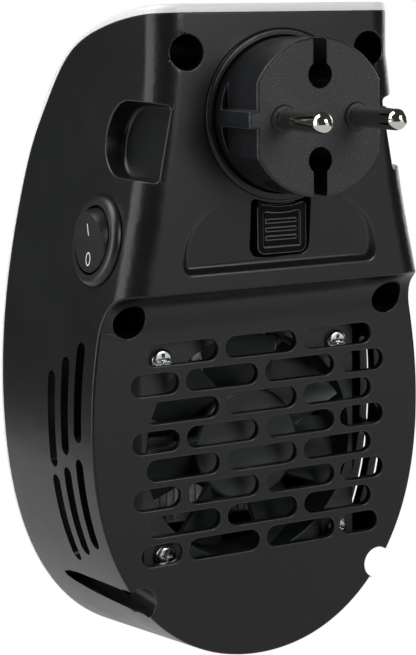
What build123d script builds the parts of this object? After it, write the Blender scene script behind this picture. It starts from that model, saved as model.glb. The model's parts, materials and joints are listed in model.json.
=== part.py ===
from build123d import *
from math import atan2, cos, degrees, radians, sin, sqrt
import os

# Plug-in fan heater that hangs on a wall socket by its own two-pin plug.
# Millimetres. The origin is the centre of the plug's face, between the two pins.
# +Y points out of the back, into the socket, +Z is up and +X is the side with the switch.

# Clearances shared by every piece
overrun = 1.0
moving_gap = 0.3
running_gap = 0.04
fixed_gap = 0.02
fit_gap = 0.2

# Plug
plug_radius = 18.0
plug_flat_x = 16.0
plug_rib_height = 3.9
plug_d_length = 14.0
plug_flange_radius = 20.4
plug_flange_thick = 2.5
plug_notch_depth = 2.5
plug_notch_width = 10.8
plug_notches = 4
plug_hub_radius = 15.0
plug_hub_length = 10.8
plug_chamber_radius = 13.2
plug_edge_round = 0.5
pin_spacing = 19.0
pin_radius = 2.4
pin_length = 19.0
pin_tail = 21.0
pin_tail_radius = 2.0
pin_collar_radius = 3.2
pin_collar_height = 1.0
pin_collar_round = 0.4
keyhole_radius = 3.0
keyhole_offset = 9.6
keyhole_depth = 12.0
keyhole_slot_width = 3.4
chamber_floor = 17.0
terminal_radius = 3.3
terminal_length = 5.0
terminal_tab_thick = 0.8
terminal_tab_width = 5.0
terminal_tab_length = 5.0
cap_thick = 1.6
cap_spigot = 2.0
cap_hole_radius = 3.0

# Body outline, seen from behind, at the lower back face and at the front seam
plateau_y = -18.0
lower_y = -28.65
seam_y = -82.0
top_z = 23.75
widest_z = -75.0
rear_half_width = 45.55
rear_bottom_z = -135.2
front_half_width = 47.35
front_bottom_z = -143.0
# Each pair is a share of the half width and a share of the height above the widest line
rear_flank_shares = ((0.708, 1.0), (0.714, 0.88), (0.793, 0.61), (0.891, 0.385), (0.976, 0.172), (1.0, 0.0))
front_flank_shares = ((0.75, 1.0), (0.754, 0.88), (0.831, 0.61), (0.928, 0.385), (0.988, 0.172), (1.0, 0.0))
# Each pair is a share of the half width and a share of the drop below the widest line
rear_belly_shares = ((0.932, 0.407), (0.801, 0.64), (0.56, 0.853), (0.29, 0.965))
front_belly_shares = ((0.936, 0.414), (0.818, 0.648), (0.578, 0.866), (0.298, 0.972))

# Side profile
cover_thick = 2.0
brow_end_z = -35.0
# Each pair is a share of the brow's depth and a share of its drop
brow_shares = ((0.44, 0.06), (0.74, 0.20), (0.895, 0.41))
brow_lean = 0.03
brow_offset_shares = (0, 0.25, 0.5, 0.7, 0.85, 1)
fold_z = -40.6
shoulder_round = 7.0
rim_round = 0.7
cover_edge_round = 1.3
edge_sample_shares = (0.05, 0.3, 0.5, 0.7, 0.95)
lip_thick = 1.4
lip_depth = 2.6

# Rear housing
wall = 2.2
well_radius = 4.05
well_wall = 1.6
well_floor = 2.0
well_top_x = 24.2
well_top_z = 14.8
well_top_floor_y = -46.0
well_mid_x = 35.6
well_mid_z = -47.5
well_low_x = 33.8
well_low_z = -117.1
well_deep_floor_y = -68.0
well_post_radius = 2.4
well_low_floor = 4.0

# Intake grille on the lower back face
slot_rows = 8
slot_row_pitch = 7.02
slot_first_z = -56.3
slot_column_pitch = 21.7
slot_height = 5.2
slot_length = 19.6
end_slot_length = 12.6
end_slot_x = 28.8
last_end_slot_length = 11.0
last_end_slot_x = 27.9

# Side vents
vent_width = 4.2
vent_rear_y = -36.8
vent_pitch = 7.5
vent_columns = 3
vent_upper_top_z = -52.9
vent_upper_step = 4.55
vent_upper_length = 24.2
vent_lower_top_z = -81.2
vent_lower_step = 3.5
vent_lower_length = 22.8

# Finger grips, one each side
grip_depth = 4.6
grip_top_z = 2.9
grip_bottom_z = -14.8
grip_front_y = -39.7
grip_lean = 11.3
grip_wall_x = 34.5
grip_round = 1.2

# Thumb recess round the release button
thumb_half_width = 26.2
thumb_top_z = -19.3
thumb_base_z = -36.4
thumb_top_radius = 14.6
thumb_corner = 2.4
thumb_depth = 1.6
thumb_slope = 48.0
thumb_ring_gap = 0.4
thumb_pad_margin = 0.8

# Ring round the plug
ring_outer_radius = 20.1
ring_hole_radius = 19.5
ring_bore_radius = 18.5
ring_height = 1.2
ring_round = 0.9

# Release button, its spring and the plate that holds the plug in
release_half_width = 6.6
release_top_radius = 21.5
release_bottom_z = -32.7
release_corner = 2.0
release_top_corner = 0.9
release_length = 6.5
release_travel = 3.0
release_dish = 0.6
release_rim = 1.6
release_rib_width = 0.9
release_rib_pitch = 2.0
release_ribs = 3
release_gap = 0.8
release_side_gap = 1.4
release_rib_z = -27.0
release_tongue_half_width = 5.0
release_tongue_thick = 2.1
release_heel_length = 1.8
release_heel_thick = 1.6
release_heel_half_width = 4.5
release_peg_radius = 1.7
hub_gap = 0.06
spring_z = -26.5
spring_radius = 2.6
spring_wire_radius = 0.3
spring_turns = 5
retainer_thick = 2.2
retainer_radius = 22.0
retainer_ear_radius = 3.6
retainer_leg_width = 2.6
retainer_leg_depth = 10.0
retainer_leg_half_height = 4.5
retainer_seat_thick = 2.0
post_radius = 3.0
post_high_x = 15.5
post_high_z = 18.9
post_low_x = 22.0
post_low_z = -14.0

# Self-tapping screws
screw_radius = 1.45
screw_head_radius = 2.75
screw_head_height = 1.9
screw_hole_radius = 1.7
screw_pilot_gap = 0.05
screw_bite = 8.0
screw_recess_width = 0.8
screw_recess_length = 3.2
screw_recess_depth = 1.0
small_screw_radius = 1.1
small_screw_head_radius = 2.0
small_screw_head_height = 1.4
small_screw_bite = 5.0
small_hole_radius = 1.3
post_screw_length = 4.8

# Mains rocker switch
switch_y = -36.0
switch_z = -29.0
switch_x = 39.2
switch_tilt = 11.4
switch_lean = 3.7
switch_bezel_radius = 10.9
switch_bezel_height = 2.0
switch_bezel_round = 1.7
switch_opening_radius = 8.3
switch_body_radius = 9.8
switch_body_length = 12.5
switch_well_depth = 8.4
switch_pad_radius = 11.3
switch_blade_width = 4.8
switch_blade_thick = 0.8
switch_blade_length = 7.0
switch_blade_spacing = 9.0
rocker_radius = 8.0
rocker_pivot_depth = 0.4
rocker_face_height = 3.0
rocker_throw = 22.0
rocker_valley = 6.0
rocker_skirt = 3.6
rocker_peg_radius = 0.8
rocker_peg_length = 1.0

# Fan
fan_z = -83.1
fan_rear_y = -35.0
fan_size = 60.0
fan_depth = 15.0
fan_corner = 4.0
fan_bore_wall = 1.3
fan_hole_inset = 5.5
fan_hole_radius = 2.1
fan_strut_width = 3.0
fan_strut_depth = 1.8
fan_struts = 3
strut_turn = 30.0
motor_radius = 12.0
motor_slot_width = 3.0
motor_slot_depth = 4.0
motor_poles = 4
motor_plate_radius = 14.6
motor_depth = 7.5
bearing_radius = 3.0
bearing_length = 2.6
shaft_radius = 1.0
hub_radius = 14.6
hub_wall = 1.3
hub_set_in = 1.4
blades = 7
blade_tip_gap = 0.8
blade_thick = 1.3
blade_root_pitch = 52.0
blade_tip_pitch = 62.0
blade_set_in = 1.6
blade_height = 9.6

# Hot-air duct and heater
duct_wall = 1.6
duct_post_radius = 3.6
duct_post_length = 10.0
screw_end_wall = 1.0
duct_ear_reach = 5.5
duct_ear_z = 15.0
duct_ear_y = -70.0
duct_ear_thick = 2.4
duct_ear_radius = 4.0
heater_rear_y = -61.0
heater_depth = 12.0
heater_frame_wall = 3.0
heater_frame_depth = 14.0
heater_bars = 3
heater_bar_height = 2.6
heater_fins = 25
heater_fin_thick = 0.45
heater_terminal_width = 5.0
heater_terminal_thick = 0.8
heater_terminal_length = 9.0
heater_terminal_x = 22.0
cutout_radius = 6.4
cutout_height = 4.2
cutout_flange_width = 17.0
cutout_flange_thick = 1.0
cutout_x = -4.0
roof_parts_y = -61.0
fuse_radius = 2.0
fuse_length = 11.0
fuse_x = 12.0
fuse_lead_radius = 0.5
fuse_lead_length = 3.0

# Hot-air outlet grille in the front cover
outlet_corner = 14.0
outlet_lip = 3.0
outlet_rim = 1.6
outlet_flange_thick = 1.9
outlet_slats = 9
outlet_slat_thick = 1.5
outlet_slat_depth = 6.0
outlet_slat_lean = 20.0
outlet_mullions = 2
outlet_mullion_thick = 1.4

# Display and keys on the front cover
window_width = 34.0
window_height = 15.0
window_z = -18.0
window_corner = 3.0
window_ledge = 1.2
key_radius = 3.6
key_spacing = 11.0
key_z = -37.5
key_proud = 0.8
key_round = 0.6
key_travel = 0.5
key_collar = 0.9
key_collar_thick = 1.0
key_stem_radius = 1.6
key_names = ("key_timer", "key_down", "key_up", "key_speed")
control_board_y = -72.0
control_board_thick = 1.6
control_board_half_width = 23.5
control_board_top_z = -9.0
control_board_bottom_z = -49.0
control_post_x = 20.5
control_post_radius = 2.4
control_post_inset = 3.0
tact_size = 6.0
tact_height = 3.5
tact_button = 1.0
display_depth = 4.6
display_width = 30.0
display_height = 11.0

# Power board
power_board_y = -52.0
power_board_thick = 1.6
power_board_half_width = 28.0
power_board_top_z = 7.5
power_board_bottom_z = -46.0
power_post_high_x = 24.8
power_post_low_x = 20.5
power_post_radius = 2.6
power_post_inset = 3.6
relay_width = 15.0
relay_depth = 14.0
relay_height = 19.0
relay_x = -9.0
relay_z = -30.0
film_capacitor_width = 9.0
film_capacitor_depth = 13.0
film_capacitor_height = 18.0
film_capacitor_x = 6.0
film_capacitor_z = -31.0
smoothing_radius = 5.0
smoothing_length = 11.0
smoothing_x = 12.0
smoothing_z = -10.0
transformer_width = 20.0
transformer_depth = 13.0
transformer_height = 17.0
transformer_inset = 2.0
transformer_x = -10.0
transformer_z = -8.0
connector_width = 9.0
connector_depth = 6.0
connector_height = 5.0
connector_wall = 0.8
connector_x = 12.0
connector_z = 3.0

# Places worked out from the sizes above
inner_plateau_y = plateau_y - wall
inner_lower_y = lower_y - wall
thumb_floor_y = plateau_y - thumb_depth
thumb_pad_y = inner_plateau_y - thumb_depth
cove_radius = plateau_y - lower_y
ring_face_y = plateau_y + ring_height
plug_flange_y = inner_plateau_y - moving_gap
plug_flange_front_y = plug_flange_y - plug_flange_thick
plug_hub_end_y = plug_flange_front_y - plug_hub_length
retainer_y = plug_flange_front_y - moving_gap
retainer_front_y = retainer_y - retainer_thick
spring_seat_y = retainer_y - retainer_leg_depth + retainer_seat_thick
release_back_y = plateau_y - release_length
fan_front_y = fan_rear_y - fan_depth
duct_front_y = seam_y + outlet_flange_thick
fan_half = fan_size / 2
fan_bore_radius = fan_half - fan_bore_wall
fan_hole_pitch = fan_size - 2 * fan_hole_inset
blade_radius = fan_bore_radius - blade_tip_gap
duct_ear_x = fan_half + duct_ear_reach
outlet_size = fan_size - 2 * outlet_lip
cover_front_y = seam_y - cover_thick
switch_axis = (
    cos(radians(switch_tilt)) * cos(radians(switch_lean)),
    sin(radians(switch_lean)),
    sin(radians(switch_tilt)) * cos(radians(switch_lean)),
)
rocker_axis = (
    -cos(radians(switch_tilt)) * sin(radians(switch_lean)),
    cos(radians(switch_lean)),
    -sin(radians(switch_tilt)) * sin(radians(switch_lean)),
)
grip_axis = (cos(radians(grip_lean)), 0, sin(radians(grip_lean)))
retainer_bite = post_screw_length - retainer_thick + overrun
small_screw_hole = small_screw_bite + overrun
power_post_places = [
    (power_post_high_x, power_board_top_z - power_post_inset),
    (power_post_low_x, power_board_bottom_z + power_post_inset),
]


def rod(radius, y_from, y_to, x=0, z=0):
    """A round bar along Y between two heights."""
    length = abs(y_from - y_to)
    middle = (y_from + y_to) / 2
    return Pos(x, middle, z) * Rot(90, 0, 0) * Cylinder(radius, length)


def block(x_from, x_to, y_from, y_to, z_from, z_to):
    """A rectangular block between six planes."""
    size = (abs(x_to - x_from), abs(y_to - y_from), abs(z_to - z_from))
    middle = ((x_from + x_to) / 2, (y_from + y_to) / 2, (z_from + z_to) / 2)
    return Pos(*middle) * Box(*size)


def back_plane(y):
    """A plane seen from the front: its x is X, its y is Z and it grows towards -Y."""
    return Plane(origin=(0, y, 0), x_dir=(1, 0, 0), z_dir=(0, -1, 0))


def plate(sketch, y_from, y_to, taper=0):
    """A flat sketch in X and Z, given thickness from one Y to a lower Y."""
    return extrude(back_plane(y_from) * sketch, amount=y_from - y_to, taper=taper)


def both_sides(shape):
    """The shape and its mirror image in the middle plane."""
    return [shape, mirror(shape, about=Plane.YZ)]


def half_outline(half_width, bottom_z, flank_shares, belly_shares):
    """Points of one flank, from the top down to just above the bottom point."""
    upper = [(w * half_width, widest_z + h * (top_z - widest_z)) for w, h in flank_shares]
    lower = [(w * half_width, widest_z + d * (bottom_z - widest_z)) for w, d in belly_shares]
    return upper + lower


def outline_points(y):
    """The whole outline at a depth, from the top of the +X flank round to the other one."""
    share = (lower_y - y) / (lower_y - seam_y)
    rear = half_outline(rear_half_width, rear_bottom_z, rear_flank_shares, rear_belly_shares)
    front = half_outline(front_half_width, front_bottom_z, front_flank_shares, front_belly_shares)
    flank = [(a + (c - a) * share, b + (d - b) * share) for (a, b), (c, d) in zip(rear, front)]
    bottom = (0, rear_bottom_z + (front_bottom_z - rear_bottom_z) * share)
    mirrored = [(-x, z) for x, z in reversed(flank)]
    return flank + [bottom] + mirrored


def inset_points(points, inset):
    """The points moved inwards, square to the line through their neighbours."""
    moved = []
    for index, (x, z) in enumerate(points):
        before = points[max(index - 1, 0)]
        after = points[min(index + 1, len(points) - 1)]
        along = (after[0] - before[0], after[1] - before[1])
        length = sqrt(along[0] ** 2 + along[1] ** 2)
        moved.append((x + along[1] / length * inset, z - along[0] / length * inset))
    return moved


def outline_face(y, inset):
    """The outline as a face, standing well above the top so that the profile cuts it."""
    points = inset_points(outline_points(y), inset)
    crown_z = top_z + wall + cover_thick + overrun
    flank = Spline(*points, tangents=((0, -1), (0, 1)))
    left, right = Vector(*points[-1]), Vector(*points[0])
    high_left, high_right = Vector(left.X, crown_z), Vector(right.X, crown_z)
    edges = [flank, Line(left, high_left), Line(high_left, high_right), Line(high_right, right)]
    return back_plane(y) * make_face(edges)


def outline_loft(inset=0):
    """The body's drafted flanks as one solid, longer than the body at both ends."""
    faces = [outline_face(plateau_y + overrun, inset), outline_face(cover_front_y - overrun, inset)]
    return loft(faces, ruled=True)


def brow_curve(shift=0):
    """The curve over the top and down the front, in Y and Z, moved outwards by shift."""
    depth, drop = plateau_y - seam_y, top_z - brow_end_z
    inner = [(plateau_y - d * depth, top_z - h * drop) for d, h in brow_shares]
    inner = [(plateau_y + overrun, top_z + overrun * brow_lean)] + inner + [(seam_y, brow_end_z)]
    base = Spline(*inner, tangents=((-1, -brow_lean), (0, -1)))
    if not shift:
        return base
    moved = []
    for share in brow_offset_shares:
        point, along = base @ share, base % share
        moved.append((point.X + along.Y * shift, point.Y - along.X * shift))
    return Spline(*moved, tangents=((-1, -brow_lean), (0, -1)))


def across(edges):
    """A closed outline in Y and Z as a solid wider than the body."""
    half = front_half_width + overrun
    return extrude(Plane.YZ * make_face(edges), amount=half, both=True)


def brow_slab(shift=0):
    """Everything under the brow curve, moved outwards by shift."""
    curve = brow_curve(shift)
    start, end = curve @ 0, curve @ 1
    floor_z = front_bottom_z - wall - overrun
    corners = [(end.X, end.Y), (end.X, floor_z), (start.X, floor_z), (start.X, start.Y)]
    return across([curve] + [Line(a, b) for a, b in zip(corners, corners[1:])])


def step_slab(inset=0):
    """Everything in front of the stepped back face, moved inwards by inset."""
    front_y = cover_front_y - overrun
    floor_z = front_bottom_z - wall - overrun
    crown_z = top_z + wall + cover_thick + overrun
    high_y, low_y = plateau_y - inset, lower_y - inset
    radius = cove_radius
    arc_start, arc_end = (high_y, fold_z + inset), (low_y, fold_z + inset - radius)
    corners = [arc_end, (low_y, floor_z), (front_y, floor_z), (front_y, crown_z)]
    corners += [(high_y, crown_z), arc_start]
    cove = CenterArc((high_y, fold_z + inset - radius), radius, 90, 90)
    return across([cove] + [Line(a, b) for a, b in zip(corners, corners[1:])])


def drafted_body(inset=0, shift=0):
    """The body's outside, or the same shape moved inwards, with its shoulders rounded."""
    body = outline_loft(inset) & brow_slab(shift) & step_slab(inset)
    return fillet(tall_edges(body, plateau_y - inset), shoulder_round - inset)


def tall_edges(body, y):
    """The body's edges that lie at one depth and run well up or down its flanks."""
    level = [e for e in body.edges() if e.bounding_box().size.Y < fit_gap]
    at_depth = [e for e in level if abs(e.center().Y - y) < fit_gap]
    return [e for e in at_depth if e.bounding_box().size.Z > shoulder_round]


def mirrored_places(places):
    """Each (x, z) place and its mirror image."""
    return [(side * x, z) for x, z in places for side in (-1, 1)]


def slot_face(width, height):
    """A slot with round ends, longer side first."""
    return SlotOverall(width, height) if width > height else Rot(0, 0, 90) * SlotOverall(height, width)


def grille_slots():
    """The staggered rows of intake slots on the lower back face."""
    cut = []
    for row in range(slot_rows):
        z = slot_first_z - row * slot_row_pitch
        last = row == slot_rows - 1
        if row % 2 == 0:
            cells = [(column * slot_column_pitch, slot_length) for column in (-1, 0, 1)]
        else:
            end_x = last_end_slot_x if last else end_slot_x
            end_length = last_end_slot_length if last else end_slot_length
            half_pitch = slot_column_pitch / 2
            cells = [(-end_x, end_length), (-half_pitch, slot_length)]
            cells += [(half_pitch, slot_length), (end_x, end_length)]
        cut += [Pos(x, z) * slot_face(length, slot_height) for x, length in cells]
    return plate(Sketch() + cut, lower_y + overrun, inner_lower_y - overrun)


def vent_slots():
    """Both rows of three vents through the +X flank."""
    cut = []
    for column in range(vent_columns):
        y = vent_rear_y - column * vent_pitch
        for first_z, step, length in (
            (vent_upper_top_z, vent_upper_step, vent_upper_length),
            (vent_lower_top_z, vent_lower_step, vent_lower_length),
        ):
            z = first_z - column * step - length / 2
            cut.append(Pos(y, z) * slot_face(vent_width, length))
    reach = front_half_width + overrun
    return Pos(reach / 2, 0, 0) * extrude(Plane.YZ * (Sketch() + cut), amount=reach / 2)


def grip_shape(margin=0):
    """The space of the +X finger grip, or the block of wall round it."""
    middle_z = (grip_top_z + grip_bottom_z) / 2
    radius = (grip_top_z - grip_bottom_z) / 2
    centre_y = grip_front_y + radius
    floor_x = grip_wall_x - grip_depth - margin
    rear_y = plateau_y + overrun
    length = rear_y - centre_y
    face = Pos(centre_y + length / 2, 0) * Rectangle(length, 2 * (radius + margin))
    face += Pos(centre_y, 0) * Circle(radius + margin)
    floor = Plane(origin=(floor_x, 0, middle_z), x_dir=(0, 1, 0), z_dir=grip_axis)
    space = extrude(floor * face, amount=grip_depth + margin + shoulder_round)
    return space if margin else fillet(space.faces().sort_by(Axis.X)[0].edges(), grip_round)


def thumb_shape(grow=0):
    """The thumb recess's outline at the back face, round the button and short of the plug's ring."""
    half, height = thumb_half_width + grow, thumb_top_z - thumb_base_z + 2 * grow
    face = Pos(0, (thumb_top_z + thumb_base_z) / 2) * Rectangle(2 * half, height)
    corners = face.vertices().sort_by(Axis.Y)
    face = fillet(corners[2:], thumb_top_radius + grow)
    face = fillet(face.vertices().sort_by(Axis.Y)[:2], thumb_corner + grow)
    return face - Circle(ring_outer_radius + thumb_ring_gap - grow)


def thumb_ramp():
    """Everything behind the recess's floor, which slopes in from its top to its lower edge."""
    high_y, low_z = plateau_y + overrun, thumb_base_z - overrun
    points = [(high_y, thumb_top_z), (plateau_y, thumb_top_z), (thumb_floor_y, thumb_base_z)]
    points += [(thumb_floor_y, low_z), (high_y, low_z)]
    return across([Line(a, b) for a, b in zip(points, points[1:] + points[:1])])


def release_face(grow=0, side_grow=0):
    """The button's outline: concave along the ring, with straight sides and round corners."""
    half = release_half_width + side_grow
    bottom = release_bottom_z - grow
    face = Pos(0, bottom / 2) * Rectangle(2 * half, -bottom)
    face = fillet(face.vertices().sort_by(Axis.Y)[:2], release_corner + grow)
    face -= Circle(release_top_radius - grow)
    return fillet(face.vertices().sort_by(Axis.Y)[-2:], release_top_corner)


def screw(y_head, y_tip, x, z, radius, head_radius, head_height, pointing=-1):
    """A pan-head screw along Y with a cross recess, its head's seat at y_head."""
    head_end = y_head - pointing * head_height
    body = rod(radius, y_head, y_tip - pointing * radius, x, z)
    tip = Cone(radius, radius / 3, radius)
    turn = Rot(90, 0, 0) if pointing < 0 else Rot(-90, 0, 0)
    body += Pos(x, y_tip - pointing * radius / 2, z) * turn * tip
    head = rod(head_radius, y_head, head_end, x, z)
    rim = head.edges().filter_by(GeomType.CIRCLE).sort_by(Axis.Y)[-1 if pointing < 0 else 0]
    head = fillet([rim], head_height / 2)
    recess_end = head_end + pointing * screw_recess_depth
    for a, b in ((screw_recess_length, screw_recess_width), (screw_recess_width, screw_recess_length)):
        head -= block(x - a / 2, x + a / 2, recess_end, head_end - pointing * overrun, z - b / 2, z + b / 2)
    return body + head


def big_screw(y_head, length, x, z, pointing=-1):
    """A main screw of the given length below its head."""
    return screw(
        y_head, y_head + pointing * length, x, z,
        screw_radius, screw_head_radius, screw_head_height, pointing,
    )


def small_screw(y_head, length, x, z, pointing=-1):
    """A board or bracket screw of the given length below its head."""
    return screw(
        y_head, y_head + pointing * length, x, z,
        small_screw_radius, small_screw_head_radius, small_screw_head_height, pointing,
    )


def well_places():
    """Each screw well as x, z, seat height and the thickness of its floor."""
    return [
        (well_top_x, well_top_z, well_top_floor_y, well_floor),
        (well_mid_x, well_mid_z, well_deep_floor_y, well_floor),
        (well_low_x, well_low_z, well_deep_floor_y, well_low_floor),
    ]


def switch_frame():
    """The switch's own frame on the flank: z outwards and x along the rocker's axis."""
    return Plane(origin=(switch_x, switch_y, switch_z), x_dir=rocker_axis, z_dir=switch_axis)


def switch_rod(radius, depth_from, depth_to):
    """A round bar along the switch's own axis, measured outwards from its seat on the flank."""
    length = depth_to - depth_from
    return switch_frame() * Pos(0, 0, (depth_from + depth_to) / 2) * Cylinder(radius, length)


def rear_housing():
    """The black shell: back wall, flanks, wells, grille, vents, grips and the posts inside."""
    outside = drafted_body()
    outside = fillet(tall_edges(outside, lower_y), rim_round)
    shell = outside - drafted_body(wall, overrun)
    added, cut = [], []
    for x, z, seat_y, floor in well_places():
        front = min(seat_y - floor, seam_y) if z == well_low_z else seat_y - floor
        added += both_sides(rod(well_radius + well_wall, plateau_y, front, x, z))
        cut += both_sides(rod(well_radius, plateau_y + overrun, seat_y, x, z))
        cut += both_sides(rod(screw_hole_radius, seat_y + overrun, seat_y - floor - overrun, x, z))
        cut += both_sides(rod(well_post_radius + fit_gap, seat_y - floor, seam_y - overrun, x, z))
    added += both_sides(grip_shape(wall))
    cut += both_sides(grip_shape())
    shell = (shell + added) & outside
    pad = thumb_shape(thumb_pad_margin) - Circle(plug_flange_radius + moving_gap)
    shell += plate(pad, plateau_y, thumb_pad_y)
    for x, z in retainer_places():
        shell += rod(post_radius, plateau_y - wall / 2, retainer_y, x, z)
    for x, z in mirrored_places(power_post_places):
        start = plateau_y - wall / 2 if z > fold_z else lower_y - wall / 2
        shell += rod(power_post_radius, start, power_board_y, x, z) & outside
    cut.append(plate(thumb_shape(), plateau_y, thumb_floor_y, thumb_slope) & thumb_ramp())
    cut.append(rod(ring_hole_radius, plateau_y + overrun, inner_plateau_y - overrun))
    hole = release_face(release_gap, release_side_gap)
    cut.append(plate(hole, plateau_y + overrun, thumb_pad_y - overrun))
    cut += both_sides(vent_slots())
    cut.append(grille_slots())
    cut.append(switch_rod(switch_body_radius + fit_gap, -switch_body_length, switch_bezel_height))
    cut.append(switch_rod(switch_pad_radius, 0, switch_body_length))
    for x, z in retainer_places():
        end_y = retainer_y + retainer_bite
        cut.append(rod(screw_radius + screw_pilot_gap, retainer_y - overrun, end_y, x, z))
    for x, z in mirrored_places(power_post_places):
        end_y = power_board_y + small_screw_hole
        cut.append(rod(small_screw_radius + screw_pilot_gap, power_board_y - overrun, end_y, x, z))
    return shell - cut


def cover_sheet():
    """The cover's sheet over the top and down the front, with its outer edges rounded."""
    body = drafted_body(shift=cover_thick)
    core = brow_slab(cover_thick - fit_gap)
    rim = []
    for edge in body.edges():
        size = edge.bounding_box().size
        middle_seam = size.X < fit_gap and abs(edge.center().X) < fit_gap
        outside = not any(core.is_inside(edge @ share) for share in edge_sample_shares)
        if outside and size.Z > overrun and not middle_seam:
            rim.append(edge)
    return fillet(rim, cover_edge_round) - brow_slab()


def inner_band(outer_inset, inner_inset, depth):
    """A band just under the cover's sheet, between two insets of the flanks."""
    ring = outline_loft(outer_inset) - outline_loft(inner_inset)
    return (ring & brow_slab() & step_slab(shoulder_round)) - brow_slab(-depth)


def window_prism(grow=0):
    """The display window's outline as a bar through the front."""
    face = Pos(0, window_z) * RectangleRounded(
        window_width + 2 * grow, window_height + 2 * grow, window_corner + grow
    )
    return plate(face, control_board_y, cover_front_y - overrun)


def outlet_prism(grow, y_from, y_to):
    """The hot-air outlet's outline as a bar."""
    face = Pos(0, fan_z) * RectangleRounded(
        outlet_size + 2 * grow, outlet_size + 2 * grow, outlet_corner + grow
    )
    return plate(face, y_from, y_to)


def key_places():
    """The keys' places along their row."""
    first = -(len(key_names) - 1) / 2 * key_spacing
    return [first + index * key_spacing for index in range(len(key_names))]


def control_post_places():
    """The posts that carry the control board."""
    high = control_board_top_z - control_post_inset
    low = control_board_bottom_z + control_post_inset
    return mirrored_places([(control_post_x, high), (control_post_x, low)])


def duct_ear_places():
    """The duct's four screw ears."""
    return mirrored_places([(duct_ear_x, fan_z + duct_ear_z), (duct_ear_x, fan_z - duct_ear_z)])


def front_cover():
    """The white cover with its locating lip, screw posts, window, key holes and outlet."""
    sheet = cover_sheet()
    posts = []
    for x, z, seat_y, floor in well_places():
        posts += both_sides(rod(well_post_radius, seat_y - floor, cover_front_y, x, z))
    for x, z in control_post_places():
        posts.append(rod(control_post_radius, control_board_y - control_board_thick, cover_front_y, x, z))
    for x, z in duct_ear_places():
        posts.append(rod(control_post_radius, duct_ear_y - duct_ear_thick, cover_front_y, x, z))
    trimmed = [post & brow_slab(cover_thick / 2) for post in posts]
    lip = inner_band(wall + fit_gap, wall + fit_gap + lip_thick, lip_depth)
    for x, z, seat_y, floor in well_places():
        for bar in both_sides(rod(well_radius + well_wall + fit_gap, plateau_y, seam_y - overrun, x, z)):
            lip -= bar
    cover = sheet + lip + trimmed
    cut = [window_prism(fit_gap / 2), outlet_prism(0, seam_y + lip_depth, cover_front_y - overrun)]
    for x in key_places():
        cut.append(rod(key_radius + moving_gap, control_board_y, cover_front_y - overrun, x, key_z))
    for x, z, seat_y, floor in well_places():
        tip_y = seat_y - floor - screw_bite - overrun
        cut += both_sides(rod(screw_radius + screw_pilot_gap, seat_y - floor + overrun, tip_y, x, z))
    for x, z in control_post_places():
        y = control_board_y - control_board_thick
        cut.append(rod(small_screw_radius + screw_pilot_gap, y + overrun, y - small_screw_hole, x, z))
    for x, z in duct_ear_places():
        y = duct_ear_y - duct_ear_thick
        cut.append(rod(small_screw_radius + screw_pilot_gap, y + overrun, y - small_screw_hole, x, z))
    return cover - cut


def plug_body():
    """The moulded plug: keyed face, round neck, lock flange with four notches and a hollow hub."""
    keyed = Circle(plug_radius) & Rectangle(2 * plug_flat_x, 2 * plug_radius)
    keyed += Circle(plug_radius) & Rectangle(2 * plug_radius, plug_rib_height)
    face = plate(keyed, 0, -plug_d_length)
    front = face.edges().filter_by(lambda e: abs(e.center().Y) < fit_gap / 2)
    body = chamfer(front, plug_edge_round) + rod(plug_radius, -plug_d_length, plug_flange_y)
    flange = Circle(plug_flange_radius)
    reach = plug_flange_radius - plug_notch_depth / 2 + overrun / 2
    notch = Pos(0, -reach) * Rectangle(plug_notch_width, plug_notch_depth + overrun)
    for index in range(plug_notches):
        flange -= Rot(0, 0, 360 / plug_notches * index) * notch
    body += plate(flange, plug_flange_y, plug_flange_front_y)
    body += rod(plug_hub_radius, plug_flange_front_y, plug_hub_end_y)
    cut = [rod(plug_chamber_radius, -chamber_floor, plug_hub_end_y - overrun)]
    for side in (-1, 1):
        hole = Pos(0, side * keyhole_offset) * Circle(keyhole_radius)
        slot_reach = plug_radius + overrun - keyhole_offset
        hole += Pos(0, side * (keyhole_offset + slot_reach / 2)) * Rectangle(keyhole_slot_width, slot_reach)
        cut.append(plate(hole, overrun, -keyhole_depth))
        x, end_y = side * pin_spacing / 2, -chamber_floor - overrun
        cut.append(rod(pin_tail_radius + fixed_gap, pin_collar_height + overrun, end_y, x))
        body += pin_collar(side)
    return body - cut


def pin_collar(side):
    """The raised collar round one pin."""
    collar = rod(pin_collar_radius, pin_collar_height, -pin_collar_height, side * pin_spacing / 2)
    rim = collar.edges().filter_by(GeomType.CIRCLE).sort_by(Axis.Y)[-1]
    return fillet([rim], pin_collar_round)


def plug_pins():
    """Both round pins, with domed ends and tails that reach the screw clamps."""
    pins = []
    for side in (-1, 1):
        x = side * pin_spacing / 2
        pin = rod(pin_radius, pin_length - pin_radius, pin_collar_height, x)
        pin += rod(pin_tail_radius, pin_length / 2, -pin_tail, x)
        pins.append(pin + Pos(x, pin_length - pin_radius, 0) * Sphere(pin_radius))
    return Compound(pins)


def plug_terminals():
    """The screw clamps on the pins' tails, each with a clamping screw's hole and a tab."""
    clamps = []
    for side in (-1, 1):
        x = side * pin_spacing / 2
        end_y = -chamber_floor - fit_gap - terminal_length
        tab_y = end_y - terminal_tab_length
        clamp = rod(terminal_radius, -chamber_floor - fit_gap, end_y, x)
        half_tab, half_thick = terminal_tab_width / 2, terminal_tab_thick / 2
        clamp += block(x - half_tab, x + half_tab, end_y, tab_y, -half_thick, half_thick)
        clamp -= rod(pin_tail_radius + fixed_gap, overrun, -pin_tail - fixed_gap, x)
        clamps.append(clamp)
    return Compound(clamps)


def plug_cap():
    """The cap that closes the plug's hub, with a hole for the wires."""
    cap = rod(plug_hub_radius, plug_hub_end_y, plug_hub_end_y - cap_thick)
    cap += rod(plug_chamber_radius - fixed_gap, plug_hub_end_y + cap_spigot, plug_hub_end_y)
    return cap - rod(cap_hole_radius, 0, plug_hub_end_y - cap_thick - overrun)


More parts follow.
